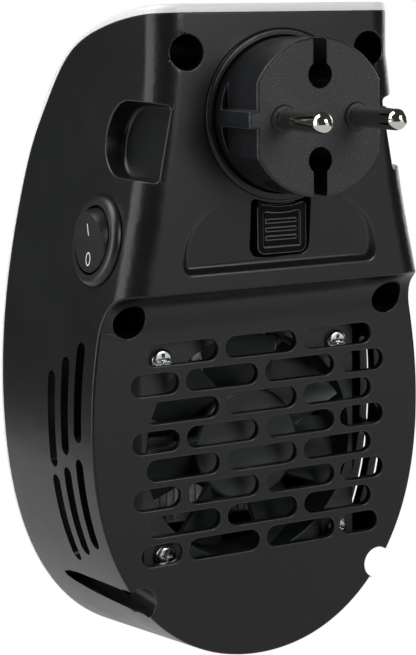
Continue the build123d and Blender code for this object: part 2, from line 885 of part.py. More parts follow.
def plug_ring():
    """The bezel ring pressed into the back wall round the plug."""
    ring = rod(ring_outer_radius, ring_face_y, plateau_y)
    rim = ring.edges().filter_by(GeomType.CIRCLE).sort_by(Axis.Y)[-1]
    ring = fillet([rim], ring_round)
    ring += rod(ring_hole_radius - fixed_gap, plateau_y, inner_plateau_y)
    return ring - rod(ring_bore_radius, ring_face_y + overrun, inner_plateau_y - overrun)


def retainer_places():
    """The four posts that carry the plug retainer."""
    return mirrored_places([(post_high_x, post_high_z), (post_low_x, post_low_z)])


def plug_retainer():
    """The plate that the plug's hub turns in, with ears and a bracket for the button's spring."""
    leg_inner = release_half_width + release_gap
    leg_outer = leg_inner + retainer_leg_width
    bottom_z = spring_z - retainer_leg_half_height
    tab_bottom_z = release_bottom_z - release_heel_length - release_gap - retainer_leg_width
    face = Circle(retainer_radius)
    for x, z in retainer_places():
        reach = sqrt(x ** 2 + z ** 2)
        arm = Pos(reach / 2, 0) * Rectangle(reach, 2 * retainer_ear_radius)
        face += Pos(x, z) * Circle(retainer_ear_radius)
        face += Rot(0, 0, degrees(atan2(z, x))) * arm
    face += Pos(0, tab_bottom_z / 2) * Rectangle(2 * leg_outer, -tab_bottom_z)
    face -= Circle(plug_hub_radius + hub_gap)
    window_top = -(plug_flange_radius - plug_notch_depth)
    window_bottom = tab_bottom_z + retainer_leg_width
    window = Pos(0, (window_top + window_bottom) / 2) * Rectangle(2 * leg_inner, window_top - window_bottom)
    for x, z in retainer_places():
        face -= Pos(x, z) * Circle(screw_hole_radius)
    part = plate(face - window, retainer_y, retainer_front_y)
    end_y = spring_seat_y - retainer_seat_thick
    high_z = spring_z + retainer_leg_half_height
    for side in (-1, 1):
        part += block(side * leg_inner, side * leg_outer, retainer_y, end_y, bottom_z, high_z)
    part += block(-leg_outer, leg_outer, spring_seat_y, end_y, bottom_z, high_z)
    peg_radius = release_peg_radius + moving_gap
    return part - rod(peg_radius, spring_seat_y + overrun, end_y - overrun, 0, spring_z)


def release_button():
    """The button with its dished face, grip ribs, lock tongue, heel and guide peg."""
    body = plate(release_face(), plateau_y, release_back_y)
    body -= plate(release_face(-release_rim, -release_rim), plateau_y + overrun, plateau_y - release_dish)
    half, half_rib = release_half_width - release_rim - release_rib_width, release_rib_width / 2
    rib_y, root_y = plateau_y - release_dish / 2, plateau_y - 2 * release_dish
    for index in range(release_ribs):
        z = release_rib_z + (index - (release_ribs - 1) / 2) * release_rib_pitch
        body += block(-half, half, rib_y, root_y, z - half_rib, z + half_rib)
    tongue_y = inner_plateau_y - moving_gap - fit_gap / 2
    tongue = Pos(0, spring_z / 2) * Rectangle(2 * release_tongue_half_width, -spring_z)
    tongue -= Circle(plug_flange_radius + moving_gap)
    body += plate(tongue, tongue_y, tongue_y - release_tongue_thick)
    heel_y = thumb_pad_y - moving_gap
    heel_z = release_bottom_z - release_heel_length
    half = release_heel_half_width
    body += block(-half, half, heel_y, heel_y - release_heel_thick, heel_z, release_bottom_z + release_rim)
    peg_end_y = spring_seat_y - retainer_seat_thick / 2
    return body + rod(release_peg_radius, release_back_y, peg_end_y, 0, spring_z)


def release_spring():
    """The button's coil spring round the peg, drawn at the length that it has when pressed."""
    start_y = spring_seat_y + spring_wire_radius + fixed_gap
    height = release_back_y - release_travel - spring_seat_y - 2 * spring_wire_radius - moving_gap
    pitch = height / spring_turns
    path = Pos(0, 0, 0) * Helix(pitch, height, spring_radius)
    wire = Plane(origin=path @ 0, z_dir=path % 0) * Circle(spring_wire_radius)
    coil = sweep(wire, path=path, is_frenet=True)
    return Pos(0, start_y, spring_z) * Rot(-90, 0, 0) * coil


def switch_body():
    """The switch's bezel and barrel with the well for the rocker."""
    body = switch_rod(switch_body_radius, -switch_body_length, 0)
    bezel = Pos(0, 0, switch_bezel_height / 2) * Cylinder(switch_bezel_radius, switch_bezel_height)
    rim = bezel.edges().filter_by(GeomType.CIRCLE).sort_by(Axis.Z)[-1]
    body += switch_frame() * fillet([rim], switch_bezel_round)
    body -= switch_rod(switch_opening_radius, -switch_well_depth, switch_bezel_height + overrun)
    reach = switch_opening_radius + rocker_peg_length
    return body - switch_frame() * rocker_axle(rocker_peg_radius + running_gap, reach + fit_gap)


def rocker_axle(radius, half_length):
    """A bar along the rocker's axis in the switch's frame."""
    return Pos(0, 0, -rocker_pivot_depth) * Rot(0, 90, 0) * Cylinder(radius, 2 * half_length)


def switch_rocker():
    """The rocker, its 0 end pressed in, bounded by a ball round its own axle."""
    reach = 2 * rocker_radius
    ball = Sphere(rocker_radius)
    for side in (-1, 1):
        top = Pos(0, 0, reach / 2) * Box(2 * reach, 2 * reach, reach)
        half = Pos(0, side * reach, 0) * Box(2 * reach, 2 * reach, 2 * reach)
        ball -= Pos(0, 0, rocker_face_height) * Rot(side * rocker_valley, 0, 0) * top & half
    ball -= Pos(0, 0, -rocker_skirt - reach / 2) * Box(2 * reach, 2 * reach, reach)
    reach = switch_opening_radius + rocker_peg_length
    pegs = Rot(0, 90, 0) * Cylinder(rocker_peg_radius, 2 * reach)
    rocker = Rot(rocker_throw / 2, 0, 0) * ball + pegs
    return switch_frame() * Pos(0, 0, -rocker_pivot_depth) * rocker


def switch_blades():
    """The two blade terminals on the inner end of the switch."""
    blades = []
    for side in (-1, 1):
        blade = Box(switch_blade_thick, switch_blade_width, switch_blade_length)
        blades.append(switch_frame() * Pos(
            side * switch_blade_spacing / 2, 0, -switch_body_length - switch_blade_length / 2
        ) * blade)
    return Compound(blades)


def fan_corners():
    """The fan's four screw places."""
    half = fan_hole_pitch / 2
    return mirrored_places([(half, fan_z + half), (half, fan_z - half)])


def fan_frame():
    """The fan's square frame with its round bore, struts and motor plate at the front."""
    face = Pos(0, fan_z) * RectangleRounded(fan_size, fan_size, fan_corner)
    face -= Pos(0, fan_z) * Circle(fan_bore_radius)
    for x, z in fan_corners():
        face -= Pos(x, z) * Circle(fan_hole_radius)
    frame = plate(face, fan_rear_y, fan_front_y)
    back_y = fan_front_y + fan_strut_depth
    spokes = Circle(motor_plate_radius)
    for index in range(fan_struts):
        reach = fan_bore_radius + overrun
        spoke = Pos(0, reach / 2) * Rectangle(fan_strut_width, reach)
        spokes += Rot(0, 0, strut_turn + 360 / fan_struts * index) * spoke
    frame += plate(Pos(0, fan_z) * spokes, back_y, fan_front_y)
    return frame


def fan_motor():
    """The stator with its four poles and the bearing tube's bore."""
    back_y = fan_front_y + fan_strut_depth
    rear_y = back_y + motor_depth
    core = Circle(motor_radius)
    gap = Pos(0, motor_radius) * Rectangle(motor_slot_width, 2 * motor_slot_depth)
    for index in range(motor_poles):
        core -= Rot(0, 0, 360 / motor_poles * (index + 1 / 2)) * gap
    core -= Circle(bearing_radius)
    return plate(Pos(0, fan_z) * core, rear_y, back_y)


def fan_bearings():
    """The two sleeve bearings in the stator's bore."""
    back_y = fan_front_y + fan_strut_depth
    sleeves = []
    for y in (back_y, back_y + motor_depth - bearing_length):
        sleeve = rod(bearing_radius, y + bearing_length, y, 0, fan_z)
        sleeves.append(sleeve - rod(shaft_radius + running_gap, overrun, cover_front_y, 0, fan_z))
    return Compound(sleeves)


def hub_face_y():
    """The rear face of the impeller's hub."""
    return fan_rear_y - hub_set_in


def fan_blade():
    """One twisted blade, from inside the hub's wall to beyond its tip."""
    middle_y = fan_rear_y - blade_set_in - blade_height / 2
    sections = []
    root, tip = hub_radius - 2 * hub_wall, blade_radius + 2 * overrun
    for radius, pitch in ((root, blade_root_pitch), (tip, blade_tip_pitch)):
        chord = blade_height / cos(radians(pitch))
        place = Plane(origin=(0, middle_y, fan_z + radius), x_dir=(0, 1, 0), z_dir=(0, 0, 1))
        sections.append(place * Rot(0, 0, pitch) * Rectangle(chord, blade_thick))
    return loft(sections)


def fan_rotor():
    """The impeller: a cup-shaped hub that covers the stator, with seven blades."""
    blade = fan_blade()
    axis = Axis((0, 0, fan_z), (0, 1, 0))
    wheel = Part() + [blade.rotate(axis, 360 / blades * index) for index in range(blades)]
    wheel &= rod(blade_radius, 0, cover_front_y, 0, fan_z)
    wheel -= rod(hub_radius - hub_wall / 2, 0, cover_front_y, 0, fan_z)
    open_y = fan_front_y + fan_strut_depth + moving_gap
    hub = rod(hub_radius, hub_face_y(), open_y, 0, fan_z)
    rim = hub.edges().filter_by(GeomType.CIRCLE).sort_by(Axis.Y)[-1]
    hub = fillet([rim], hub_wall)
    wheel += hub
    wheel -= rod(hub_radius - hub_wall, hub_face_y() - hub_wall, open_y - overrun, 0, fan_z)
    return wheel - rod(shaft_radius, 0, cover_front_y, 0, fan_z)


def fan_shaft():
    """The steel shaft, pressed into the hub and turning in the bearings."""
    end_y = fan_front_y + fan_strut_depth + moving_gap
    return rod(shaft_radius, hub_face_y() - hub_wall / 2, end_y, 0, fan_z)


def fan_screws():
    """Four screws through the fan's corners into the duct's posts."""
    length = fan_depth + screw_bite
    return Compound([big_screw(fan_rear_y, length, x, z) for x, z in fan_corners()])


def duct_face(inset):
    """The square duct's outline, moved inwards."""
    size = fan_size - 2 * inset
    return Pos(0, fan_z) * RectangleRounded(size, size, fan_corner - inset)


def air_duct():
    """The duct from the fan to the outlet, with corner posts for the fan and ears for its screws."""
    part = plate(duct_face(0) - duct_face(duct_wall), fan_front_y, duct_front_y)
    corner = plate(duct_face(0), fan_front_y, fan_front_y - duct_post_length)
    for x, z in fan_corners():
        part += rod(duct_post_radius, fan_front_y, fan_front_y - duct_post_length, x, z) & corner
    for x, z in duct_ear_places():
        side = 1 if x > 0 else -1
        ear = Pos(x, z) * Circle(duct_ear_radius)
        root_x = side * (fan_half - duct_wall / 2)
        ear += Pos((x + root_x) / 2, z) * Rectangle(abs(x - root_x), 2 * duct_ear_radius)
        ear -= Pos(x, z) * Circle(small_hole_radius)
        part += plate(ear, duct_ear_y, duct_ear_y - duct_ear_thick)
    pilot_end_y = fan_front_y - duct_post_length + screw_end_wall
    pilot_radius = screw_radius + screw_pilot_gap
    cut = [rod(pilot_radius, fan_front_y + overrun, pilot_end_y, x, z) for x, z in fan_corners()]
    roof_z = fan_z + fan_half
    for x in (-heater_terminal_x, heater_terminal_x):
        cut.append(terminal_block(x, fit_gap, roof_z - duct_wall - overrun, roof_z + overrun))
    return part - cut


def duct_screws():
    """Four screws that hold the duct's ears on the cover's posts."""
    length = duct_ear_thick + small_screw_bite
    return Compound([small_screw(duct_ear_y, length, x, z) for x, z in duct_ear_places()])


def heater_frame():
    """The heat-proof frame round the heating bars, with slots for the terminals."""
    outer_face = duct_face(duct_wall + fixed_gap)
    frame = plate(outer_face - heater_window(), heater_rear_y, heater_rear_y - heater_frame_depth)
    roof_z = fan_z + fan_half
    for x in (-heater_terminal_x, heater_terminal_x):
        frame -= terminal_block(x, fit_gap, heater_inner_half() + fan_z - overrun, roof_z)
    return frame


def heater_inner_half():
    """Half the height and width of the heater frame's opening."""
    return fan_half - duct_wall - heater_frame_wall


def heater_window():
    """The heater frame's square opening."""
    size = 2 * heater_inner_half()
    return Pos(0, fan_z) * Rectangle(size, size)


def terminal_block(x, grow, z_from, z_to):
    """A heater terminal's tab, or the slot for it."""
    half, half_thick = heater_terminal_width / 2 + grow, heater_terminal_thick / 2 + grow
    middle_y = heater_rear_y - heater_frame_depth / 2
    return block(x - half, x + half, middle_y - half_thick, middle_y + half_thick, z_from, z_to)


def heater_band_height():
    """The height of one fin pack between two bars."""
    return (2 * heater_inner_half() - heater_bars * heater_bar_height) / (heater_bars + 1)


def heater_bar_places():
    """The height of each bar's lower face."""
    start = fan_z - heater_inner_half()
    step = heater_band_height() + heater_bar_height
    return [start + heater_band_height() + index * step for index in range(heater_bars)]


def heater_bars_solid():
    """The heating bars, one above the other."""
    half = heater_inner_half()
    y_from, y_to = heater_core_rear(), heater_core_rear() - heater_depth
    return Compound([
        block(-half, half, y_from, y_to, z, z + heater_bar_height) for z in heater_bar_places()
    ])


def heater_core_rear():
    """The rear face of the bars and fins, centred in the frame's depth."""
    return heater_rear_y - (heater_frame_depth - heater_depth) / 2


def heater_fin_packs():
    """The aluminium fin packs between the bars, each two skins joined by upright fins."""
    half = heater_inner_half()
    y_from, y_to = heater_core_rear(), heater_core_rear() - heater_depth
    pitch = (2 * half - heater_fin_thick) / (heater_fins - 1)
    step = heater_band_height() + heater_bar_height
    packs = []
    for band in range(heater_bars + 1):
        low = fan_z - half + band * step
        high = low + heater_band_height()
        face = Pos(0, low + heater_fin_thick / 2) * Rectangle(2 * half, heater_fin_thick)
        face += Pos(0, high - heater_fin_thick / 2) * Rectangle(2 * half, heater_fin_thick)
        for index in range(heater_fins):
            x = -half + heater_fin_thick / 2 + index * pitch
            face += Pos(x, (low + high) / 2) * Rectangle(heater_fin_thick, high - low)
        packs.append(plate(face, y_from, y_to))
    return Compound(packs)


def heater_terminals():
    """The two tabs that stand on the top fin pack and pass out through the duct's roof."""
    foot_z = fan_z + heater_inner_half()
    end_z = fan_z + fan_half + heater_terminal_length
    return Compound([terminal_block(side * heater_terminal_x, 0, foot_z, end_z) for side in (-1, 1)])


def upright(radius, x, y, z_from, z_to):
    """A round bar along Z."""
    return Pos(x, y, (z_from + z_to) / 2) * Cylinder(radius, abs(z_to - z_from))


def thermal_cutout():
    """The round resetting cutout on the duct's roof, with its flange and two tabs."""
    roof_z = fan_z + fan_half
    half_width, half_depth = cutout_flange_width / 2, cutout_radius / 2
    part = block(
        cutout_x - half_width, cutout_x + half_width, roof_parts_y - half_depth, roof_parts_y + half_depth,
        roof_z, roof_z + cutout_flange_thick,
    )
    return part + upright(cutout_radius, cutout_x, roof_parts_y, roof_z, roof_z + cutout_height)


def thermal_fuse():
    """The one-shot fuse that lies on the duct's roof, with a lead at each end."""
    roof_z = fan_z + fan_half
    barrel = Rot(0, 90, 0) * Cylinder(fuse_radius, fuse_length)
    barrel += Rot(0, 90, 0) * Cylinder(fuse_lead_radius, fuse_length + 2 * fuse_lead_length)
    return Pos(fuse_x, roof_parts_y, roof_z + fuse_radius) * barrel


def outlet_grille():
    """The hot-air grille: a rim behind the cover, leaning slats and two upright bars."""
    part = outlet_prism(outlet_lip, seam_y + outlet_flange_thick, seam_y)
    part += outlet_prism(-fit_gap, seam_y, cover_front_y)
    opening = outlet_prism(-fit_gap - outlet_rim, 0, cover_front_y - overrun)
    part -= opening
    pitch = outlet_size / (outlet_slats + 1)
    depth_middle = (seam_y + outlet_flange_thick + cover_front_y) / 2
    slats = []
    for index in range(outlet_slats):
        z = fan_z - outlet_size / 2 + (index + 1) * pitch
        slat = Box(outlet_size, outlet_slat_depth, outlet_slat_thick)
        slats.append(Pos(0, depth_middle, z) * Rot(outlet_slat_lean, 0, 0) * slat)
    for index in range(outlet_mullions):
        x = (index - (outlet_mullions - 1) / 2) * outlet_size / (outlet_mullions + 1)
        height = outlet_size + outlet_lip
        slats.append(Pos(x, depth_middle, fan_z) * Box(outlet_mullion_thick, outlet_slat_depth, height))
    room = outlet_prism(-fit_gap - outlet_rim / 2, seam_y + outlet_flange_thick, cover_front_y)
    return part + [slat & room for slat in slats]


def display_window():
    """The smoked window that follows the cover's curve, with a ledge behind the cover."""
    pane = window_prism(-fit_gap / 2) & brow_slab(cover_thick)
    pane -= brow_slab(-window_ledge)
    ledge = (window_prism(window_ledge) & brow_slab()) - brow_slab(-window_ledge)
    return pane + ledge


def display_module():
    """The display block on the control board behind the window."""
    y = control_board_y - control_board_thick
    half_width, half_height = display_width / 2, display_height / 2
    low_z, high_z = window_z - half_height, window_z + half_height
    return block(-half_width, half_width, y, y - display_depth, low_z, high_z)


def control_board():
    """The board behind the keys and the display."""
    part = block(
        -control_board_half_width, control_board_half_width,
        control_board_y, control_board_y - control_board_thick, control_board_bottom_z, control_board_top_z,
    )
    for x, z in control_post_places():
        part -= rod(small_hole_radius, 0, cover_front_y, x, z)
    return part


def control_screws():
    """Four screws that hold the control board on the cover's posts."""
    length = control_board_thick + small_screw_bite
    return Compound([small_screw(control_board_y, length, x, z) for x, z in control_post_places()])


def front_key(x):
    """One push key: domed cap through the cover, collar behind it and a stem to its switch."""
    cap_y = cover_front_y - key_proud
    cap = rod(key_radius, seam_y + moving_gap, cap_y, x, key_z)
    rim = cap.edges().filter_by(GeomType.CIRCLE).sort_by(Axis.Y)[0]
    cap = fillet([rim], key_round)
    collar_y = seam_y + moving_gap
    cap += rod(key_radius + key_collar, collar_y + key_collar_thick, collar_y, x, key_z)
    stem_y = control_board_y - control_board_thick - tact_height - key_travel - moving_gap
    return cap + rod(key_stem_radius, stem_y, collar_y, x, key_z)


def key_switches():
    """The four small push switches on the control board."""
    y = control_board_y - control_board_thick
    half = tact_size / 2
    switches = []
    for x in key_places():
        body = block(x - half, x + half, y, y - tact_height + tact_button, key_z - half, key_z + half)
        switches.append(body + rod(key_stem_radius, y, y - tact_height, x, key_z))
    return Compound(switches)


def power_board():
    """The board behind the back wall that carries the heater's relay and supply."""
    part = block(
        -power_board_half_width, power_board_half_width,
        power_board_y, power_board_y - power_board_thick, power_board_bottom_z, power_board_top_z,
    )
    for x, z in mirrored_places(power_post_places):
        part -= rod(small_hole_radius, 0, cover_front_y, x, z)
    return part


def power_screws():
    """Four screws that hold the power board on the housing's posts, driven from the front."""
    y = power_board_y - power_board_thick
    length = power_board_thick + small_screw_bite
    places = mirrored_places(power_post_places)
    return Compound([small_screw(y, length, x, z, pointing=1) for x, z in places])


def on_power_board(x, z, width, depth, height):
    """A block component standing on the power board's rear face."""
    return block(
        x - width / 2, x + width / 2, power_board_y + depth, power_board_y, z - height / 2, z + height / 2
    )


def relay():
    """The heater's relay."""
    return on_power_board(relay_x, relay_z, relay_width, relay_depth, relay_height)


def film_capacitor():
    """The film capacitor across the supply."""
    return on_power_board(
        film_capacitor_x, film_capacitor_z,
        film_capacitor_width, film_capacitor_depth, film_capacitor_height,
    )


def transformer():
    """The small supply transformer, its core standing proud of the winding."""
    core = on_power_board(
        transformer_x, transformer_z,
        transformer_width, transformer_depth - transformer_inset, transformer_height,
    )
    winding = on_power_board(
        transformer_x, transformer_z,
        transformer_width - 2 * transformer_inset, transformer_depth,
        transformer_height - 2 * transformer_inset,
    )
    return core + winding


def smoothing_capacitor():
    """The round smoothing capacitor."""
    return rod(smoothing_radius, power_board_y + smoothing_length, power_board_y, smoothing_x, smoothing_z)


def connector():
    """The plug-in connector for the control board's leads."""
    part = on_power_board(connector_x, connector_z, connector_width, connector_depth, connector_height)
    room = on_power_board(
        connector_x, connector_z,
        connector_width - 2 * connector_wall, connector_depth, connector_height - 2 * connector_wall,
    )
    return part - Pos(0, connector_wall, 0) * room


def retainer_screws():
    """Four screws that hold the retainer on the back wall's posts, driven from the front."""
    return Compound([
        big_screw(retainer_front_y, post_screw_length, x, z, pointing=1) for x, z in retainer_places()
    ])


def housing_screws():
    """The six screws at the bottom of the wells that hold the shell on the cover's posts."""
    screws = []
    for x, z, seat_y, floor in well_places():
        for side in (-1, 1):
            screws.append(big_screw(seat_y, floor + screw_bite, side * x, z))
    return Compound(screws)


pieces = {
    "plug_body": plug_body,
    "plug_pins": plug_pins,
    "plug_terminals": plug_terminals,
    "plug_cap": plug_cap,
    "plug_ring": plug_ring,
    "plug_retainer": plug_retainer,
    "retainer_screws": retainer_screws,
    "release_button": release_button,
    "release_spring": release_spring,
    "rear_housing": rear_housing,
    "front_cover": front_cover,
    "housing_screws": housing_screws,
    "switch_body": switch_body,
    "switch_rocker": switch_rocker,
    "switch_blades": switch_blades,
    "fan_frame": fan_frame,
    "fan_motor": fan_motor,
    "fan_bearings": fan_bearings,
    "fan_rotor": fan_rotor,
    "fan_shaft": fan_shaft,
    "fan_screws": fan_screws,
    "air_duct": air_duct,
    "duct_screws": duct_screws,
    "heater_frame": heater_frame,
    "heater_bars": heater_bars_solid,
    "heater_fins": heater_fin_packs,
    "heater_terminals": heater_terminals,
    "thermal_cutout": thermal_cutout,
    "thermal_fuse": thermal_fuse,
    "outlet_grille": outlet_grille,
    "display_window": display_window,
    "display_module": display_module,
    "control_board": control_board,
    "control_screws": control_screws,
    "key_switches": key_switches,
    "power_board": power_board,
    "power_screws": power_screws,
    "relay": relay,
    "film_capacitor": film_capacitor,
    "smoothing_capacitor": smoothing_capacitor,
    "transformer": transformer,
    "board_connector": connector,
}


def main():
    """Builds every piece and writes each one to its own file."""
    os.makedirs("parts", exist_ok=True)
    for name, make in pieces.items():
        export_step(make(), f"parts/{name}.step")
    for name, x in zip(key_names, key_places()):
        export_step(front_key(x), f"parts/{name}.step")


if __name__ == "__main__":
    main()
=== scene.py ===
import json
import math

import bmesh
import bpy
from mathutils import Matrix, Vector


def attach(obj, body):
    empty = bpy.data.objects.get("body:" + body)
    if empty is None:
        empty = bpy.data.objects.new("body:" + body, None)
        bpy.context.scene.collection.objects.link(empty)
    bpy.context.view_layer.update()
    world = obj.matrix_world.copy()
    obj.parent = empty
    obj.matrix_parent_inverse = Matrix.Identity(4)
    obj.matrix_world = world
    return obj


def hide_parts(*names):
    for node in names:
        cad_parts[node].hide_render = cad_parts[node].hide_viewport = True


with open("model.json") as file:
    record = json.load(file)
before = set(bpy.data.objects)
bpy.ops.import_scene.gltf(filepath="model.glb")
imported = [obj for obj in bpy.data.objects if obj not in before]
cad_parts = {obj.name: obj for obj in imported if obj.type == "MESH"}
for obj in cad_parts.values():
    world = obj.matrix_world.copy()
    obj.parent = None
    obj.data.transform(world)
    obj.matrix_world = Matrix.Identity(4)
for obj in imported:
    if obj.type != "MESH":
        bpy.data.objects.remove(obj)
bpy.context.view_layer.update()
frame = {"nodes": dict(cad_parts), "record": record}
nodes = frame["nodes"]
bodyMembers = frame["record"]["behaviour"]["bodies"]
bodyOfNode = {node: body for body, members in bodyMembers.items() for node in members}
print("frame loaded:", len(nodes), "pieces")

mm = 0.001  # every size below is in millimetres


def srgb(text):
    # turns a hex colour, as read off a screen, to the linear values that a shader wants,
    # by the numbers of the sRGB standard
    values = [int(text[i:i + 2], 16) / 255 for i in (1, 3, 5)]
    linear = [v / 12.92 if v <= 0.04045 else ((v + 0.055) / 1.055) ** 2.4 for v in values]
    return (*linear, 1.0)


def add(tree, kind, links=None, **settings):
    # one node with its settings; links maps an input's name to a value or another node's output
    node = tree.nodes.new(kind)
    for key, value in settings.items():
        setattr(node, key, value)
    for name, source in (links or {}).items():
        socket = node.inputs[name]
        if isinstance(source, bpy.types.NodeSocket):
            tree.links.new(source, socket)
        else:
            socket.default_value = source
    return node


def newObject(name, data):
    # puts a mesh, lamp or camera in the scene
    holder = bpy.data.objects.new(name, data)
    bpy.context.scene.collection.objects.link(holder)
    return holder


def newMaterial(name):
    material = bpy.data.materials.new(name)
    material.use_nodes = True
    material.node_tree.nodes.clear()
    return material, material.node_tree


def finishMaterial(material, tree, shader):
    add(tree, "ShaderNodeOutputMaterial", {"Surface": shader.outputs[0]})
    return material


# what all plastics share unless their own look says otherwise, widths in mm
plasticLook = {
    "grainDetail": 2.0,
    "cloudWidth": 18, "cloudDetail": 4.0, "cloudSpan": (0.3, 0.7),  # drifts in tone and gloss
    "rubbedSpan": (0.55, 0.75), "rubbedColour": "#5c5f63",  # the grain's high points, rubbed paler
    "speckle": 0.06,  # how much of the rubbed colour shows
    "ior": 1.5, "sheen": 0.5, "coat": 0.0, "coatRough": 0.2,
}


def mouldedPlastic(name, ownLook):
    # injection-moulded plastic: a spark-eroded grain breaks up the gloss, with faint cloudy wear
    look = {**plasticLook, **ownLook}
    material, tree = newMaterial(name)
    place = add(tree, "ShaderNodeTexCoord").outputs["Object"]
    grain = add(tree, "ShaderNodeTexNoise", {
        "Vector": place, "Scale": 1 / (look["grain"] * mm), "Detail": look["grainDetail"],
    })
    cloud = add(tree, "ShaderNodeTexNoise", {
        "Vector": place, "Scale": 1 / (look["cloudWidth"] * mm), "Detail": look["cloudDetail"],
    })
    tone = add(tree, "ShaderNodeMix", {
        "Factor": cloud.outputs["Fac"], "A": srgb(look["colour"]), "B": srgb(look["cloud"]),
    }, data_type="RGBA")
    rubbed = add(tree, "ShaderNodeMapRange", {
        "Value": grain.outputs["Fac"], "To Max": look["speckle"],
        "From Min": look["rubbedSpan"][0], "From Max": look["rubbedSpan"][1],
    })
    worn = add(tree, "ShaderNodeMix", {
        "Factor": rubbed.outputs[0], "A": tone.outputs["Result"], "B": srgb(look["rubbedColour"]),
    }, data_type="RGBA")
    gloss = add(tree, "ShaderNodeMapRange", {
        "Value": cloud.outputs["Fac"],
        "From Min": look["cloudSpan"][0], "From Max": look["cloudSpan"][1],
        "To Min": look["rough"] - look["uneven"], "To Max": look["rough"] + look["uneven"],
    })
    bump = add(tree, "ShaderNodeBump", {
        "Height": grain.outputs["Fac"], "Strength": 1.0, "Distance": look["depth"] * mm,
    })
    shader = add(tree, "ShaderNodeBsdfPrincipled", {
        "Base Color": worn.outputs["Result"], "Roughness": gloss.outputs[0],
        "Normal": bump.outputs[0], "IOR": look["ior"], "Specular IOR Level": look["sheen"],
        "Coat Weight": look["coat"], "Coat Roughness": look["coatRough"],
    })
    return finishMaterial(material, tree, shader)


# plastics and other moulded or coated finishes: cloud is the colour that its patches drift to,
# grain and depth are the width and height of its grain in mm
plastics = {
    # black ABS from a fine spark-eroded mould: satin, lights spread into soft streaks
    "blackAbs": {
        "colour": "#131415", "cloud": "#161718", "rough": 0.3, "uneven": 0.03,
        "grain": 0.45, "depth": 0.02, "sheen": 0.3,
    },
    # the same ABS along an edge, a shade lighter and glossier: a painted highlight on the moulded
    # edges
    "blackAbsPaintedHighlight": {
        "colour": "#222326", "cloud": "#292a2d", "rough": 0.3, "uneven": 0.04,
        "grain": 0.45, "depth": 0.01, "sheen": 0.38,
    },
    # black polyamide of the plug's sides and cap, from a polished mould: deep black
    "blackPolyamide": {
        "colour": "#111214", "cloud": "#151618", "rough": 0.28, "uneven": 0.04,
        "grain": 0.6, "depth": 0.01, "sheen": 0.35,
    },
    # the plug's face, from a coarsely sparked mould: dull, greyer and speckled
    # its grain is drawn at 0.42 mm, about twice its real size, because a finer one doesn't show
    "sparkedPolyamide": {
        "colour": "#17191b", "cloud": "#1d1f22", "rough": 0.5, "uneven": 0.06,
        "grain": 0.42, "depth": 0.12, "sheen": 0.42, "speckle": 0.5,
    },
    # black ABS of the display and the small switches: smoother mould, deeper black
    "blackSmoothAbs": {
        "colour": "#101112", "cloud": "#141516", "rough": 0.26, "uneven": 0.04,
        "grain": 0.5, "depth": 0.008, "sheen": 0.4,
    },
    # matt black ABS of the release button: its faces stay near black beside the satin back
    "blackMattAbs": {
        "colour": "#060607", "cloud": "#09090a", "rough": 0.42, "uneven": 0.04,
        "grain": 0.4, "depth": 0.02, "sheen": 0.05,
    },
    # black polycarbonate of the switch's bezel and rocker: an even satin
    "blackPolycarbonate": {
        "colour": "#0f1012", "cloud": "#121315", "rough": 0.36, "uneven": 0.03,
        "grain": 0.4, "depth": 0.01, "sheen": 0.4, "ior": 1.58,
    },
    # the release button's edges, painted pale: a painted highlight, a bright line round its dark
    # faces
    "blackSmoothAbsPaintedHighlight": {
        "colour": "#5a5c60", "cloud": "#66686c", "rough": 0.3, "uneven": 0.04,
        "grain": 0.5, "depth": 0.008, "sheen": 0.5,
    },
    # white ABS of the front cover: smooth satin
    "whiteAbs": {
        "colour": "#e4e5e4", "cloud": "#eaeae8", "rough": 0.32, "uneven": 0.04,
        "grain": 0.5, "depth": 0.004,
    },
    # dark grey PBT of the fan and the keys: dull, slightly green
    "greyPbt": {
        "colour": "#1b2021", "cloud": "#232728", "rough": 0.45, "uneven": 0.05,
        "grain": 0.5, "depth": 0.03, "sheen": 0.45,
    },
    # glass-filled polyamide of the duct and the heater's frame: dull black with a fibrous grain
    "filledPolyamide": {
        "colour": "#0e0e0e", "cloud": "#151514", "rough": 0.6, "uneven": 0.06,
        "grain": 0.4, "depth": 0.02, "sheen": 0.25,
    },
    # green solder resist over glass-fibre epoxy: the weave shows faintly
    "boardEpoxy": {
        "colour": "#1c4a2c", "cloud": "#235634", "rough": 0.36, "uneven": 0.04,
        "grain": 1.2, "depth": 0.008,
    },
    # blue PBT of the relay's case, moulded smooth: an even satin
    "relayPbt": {
        "colour": "#274d86", "cloud": "#2b5590", "rough": 0.35, "uneven": 0.04,
        "grain": 0.6, "depth": 0.006,
    },
    # yellow PBT of the film capacitor's box, moulded smooth: an even satin
    "filmCapacitorPbt": {
        "colour": "#c99a2e", "cloud": "#d2a43a", "rough": 0.38, "uneven": 0.04,
        "grain": 0.6, "depth": 0.006,
    },
    # yellow polyester tape wound round the transformer: slightly rough and uneven in tone
    "windingTape": {
        "colour": "#c2a03c", "cloud": "#cdb04e", "rough": 0.42, "uneven": 0.05,
        "grain": 0.8, "depth": 0.02,
    },
    # cream ceramic, glazed: pale with a wet gloss
    "glazedCeramic": {
        "colour": "#e3dfd5", "cloud": "#ebe8df", "rough": 0.22, "uneven": 0.04,
        "grain": 1.0, "depth": 0.004,
    },
    # smoked acrylic from a polished mould: near black and mirror smooth
    "smokedAcrylic": {
        "colour": "#0b0b0d", "cloud": "#0e0e10", "rough": 0.08, "uneven": 0.02,
        "grain": 2.0, "depth": 0.001, "ior": 1.49, "coat": 0.3,
    },
    # pad-printed white ink: flat and dull
    "whiteInk": {
        "colour": "#cfd0d0", "cloud": "#d8d8d8", "rough": 0.5, "uneven": 0.03,
        "grain": 0.2, "depth": 0.004,
    },
}
# the lighter finish given to the edges of a finish: a painted highlight along them
paintedEdgeHighlights = {"blackAbs": "blackAbsPaintedHighlight", "blackMattAbs": "blackSmoothAbsPaintedHighlight"}

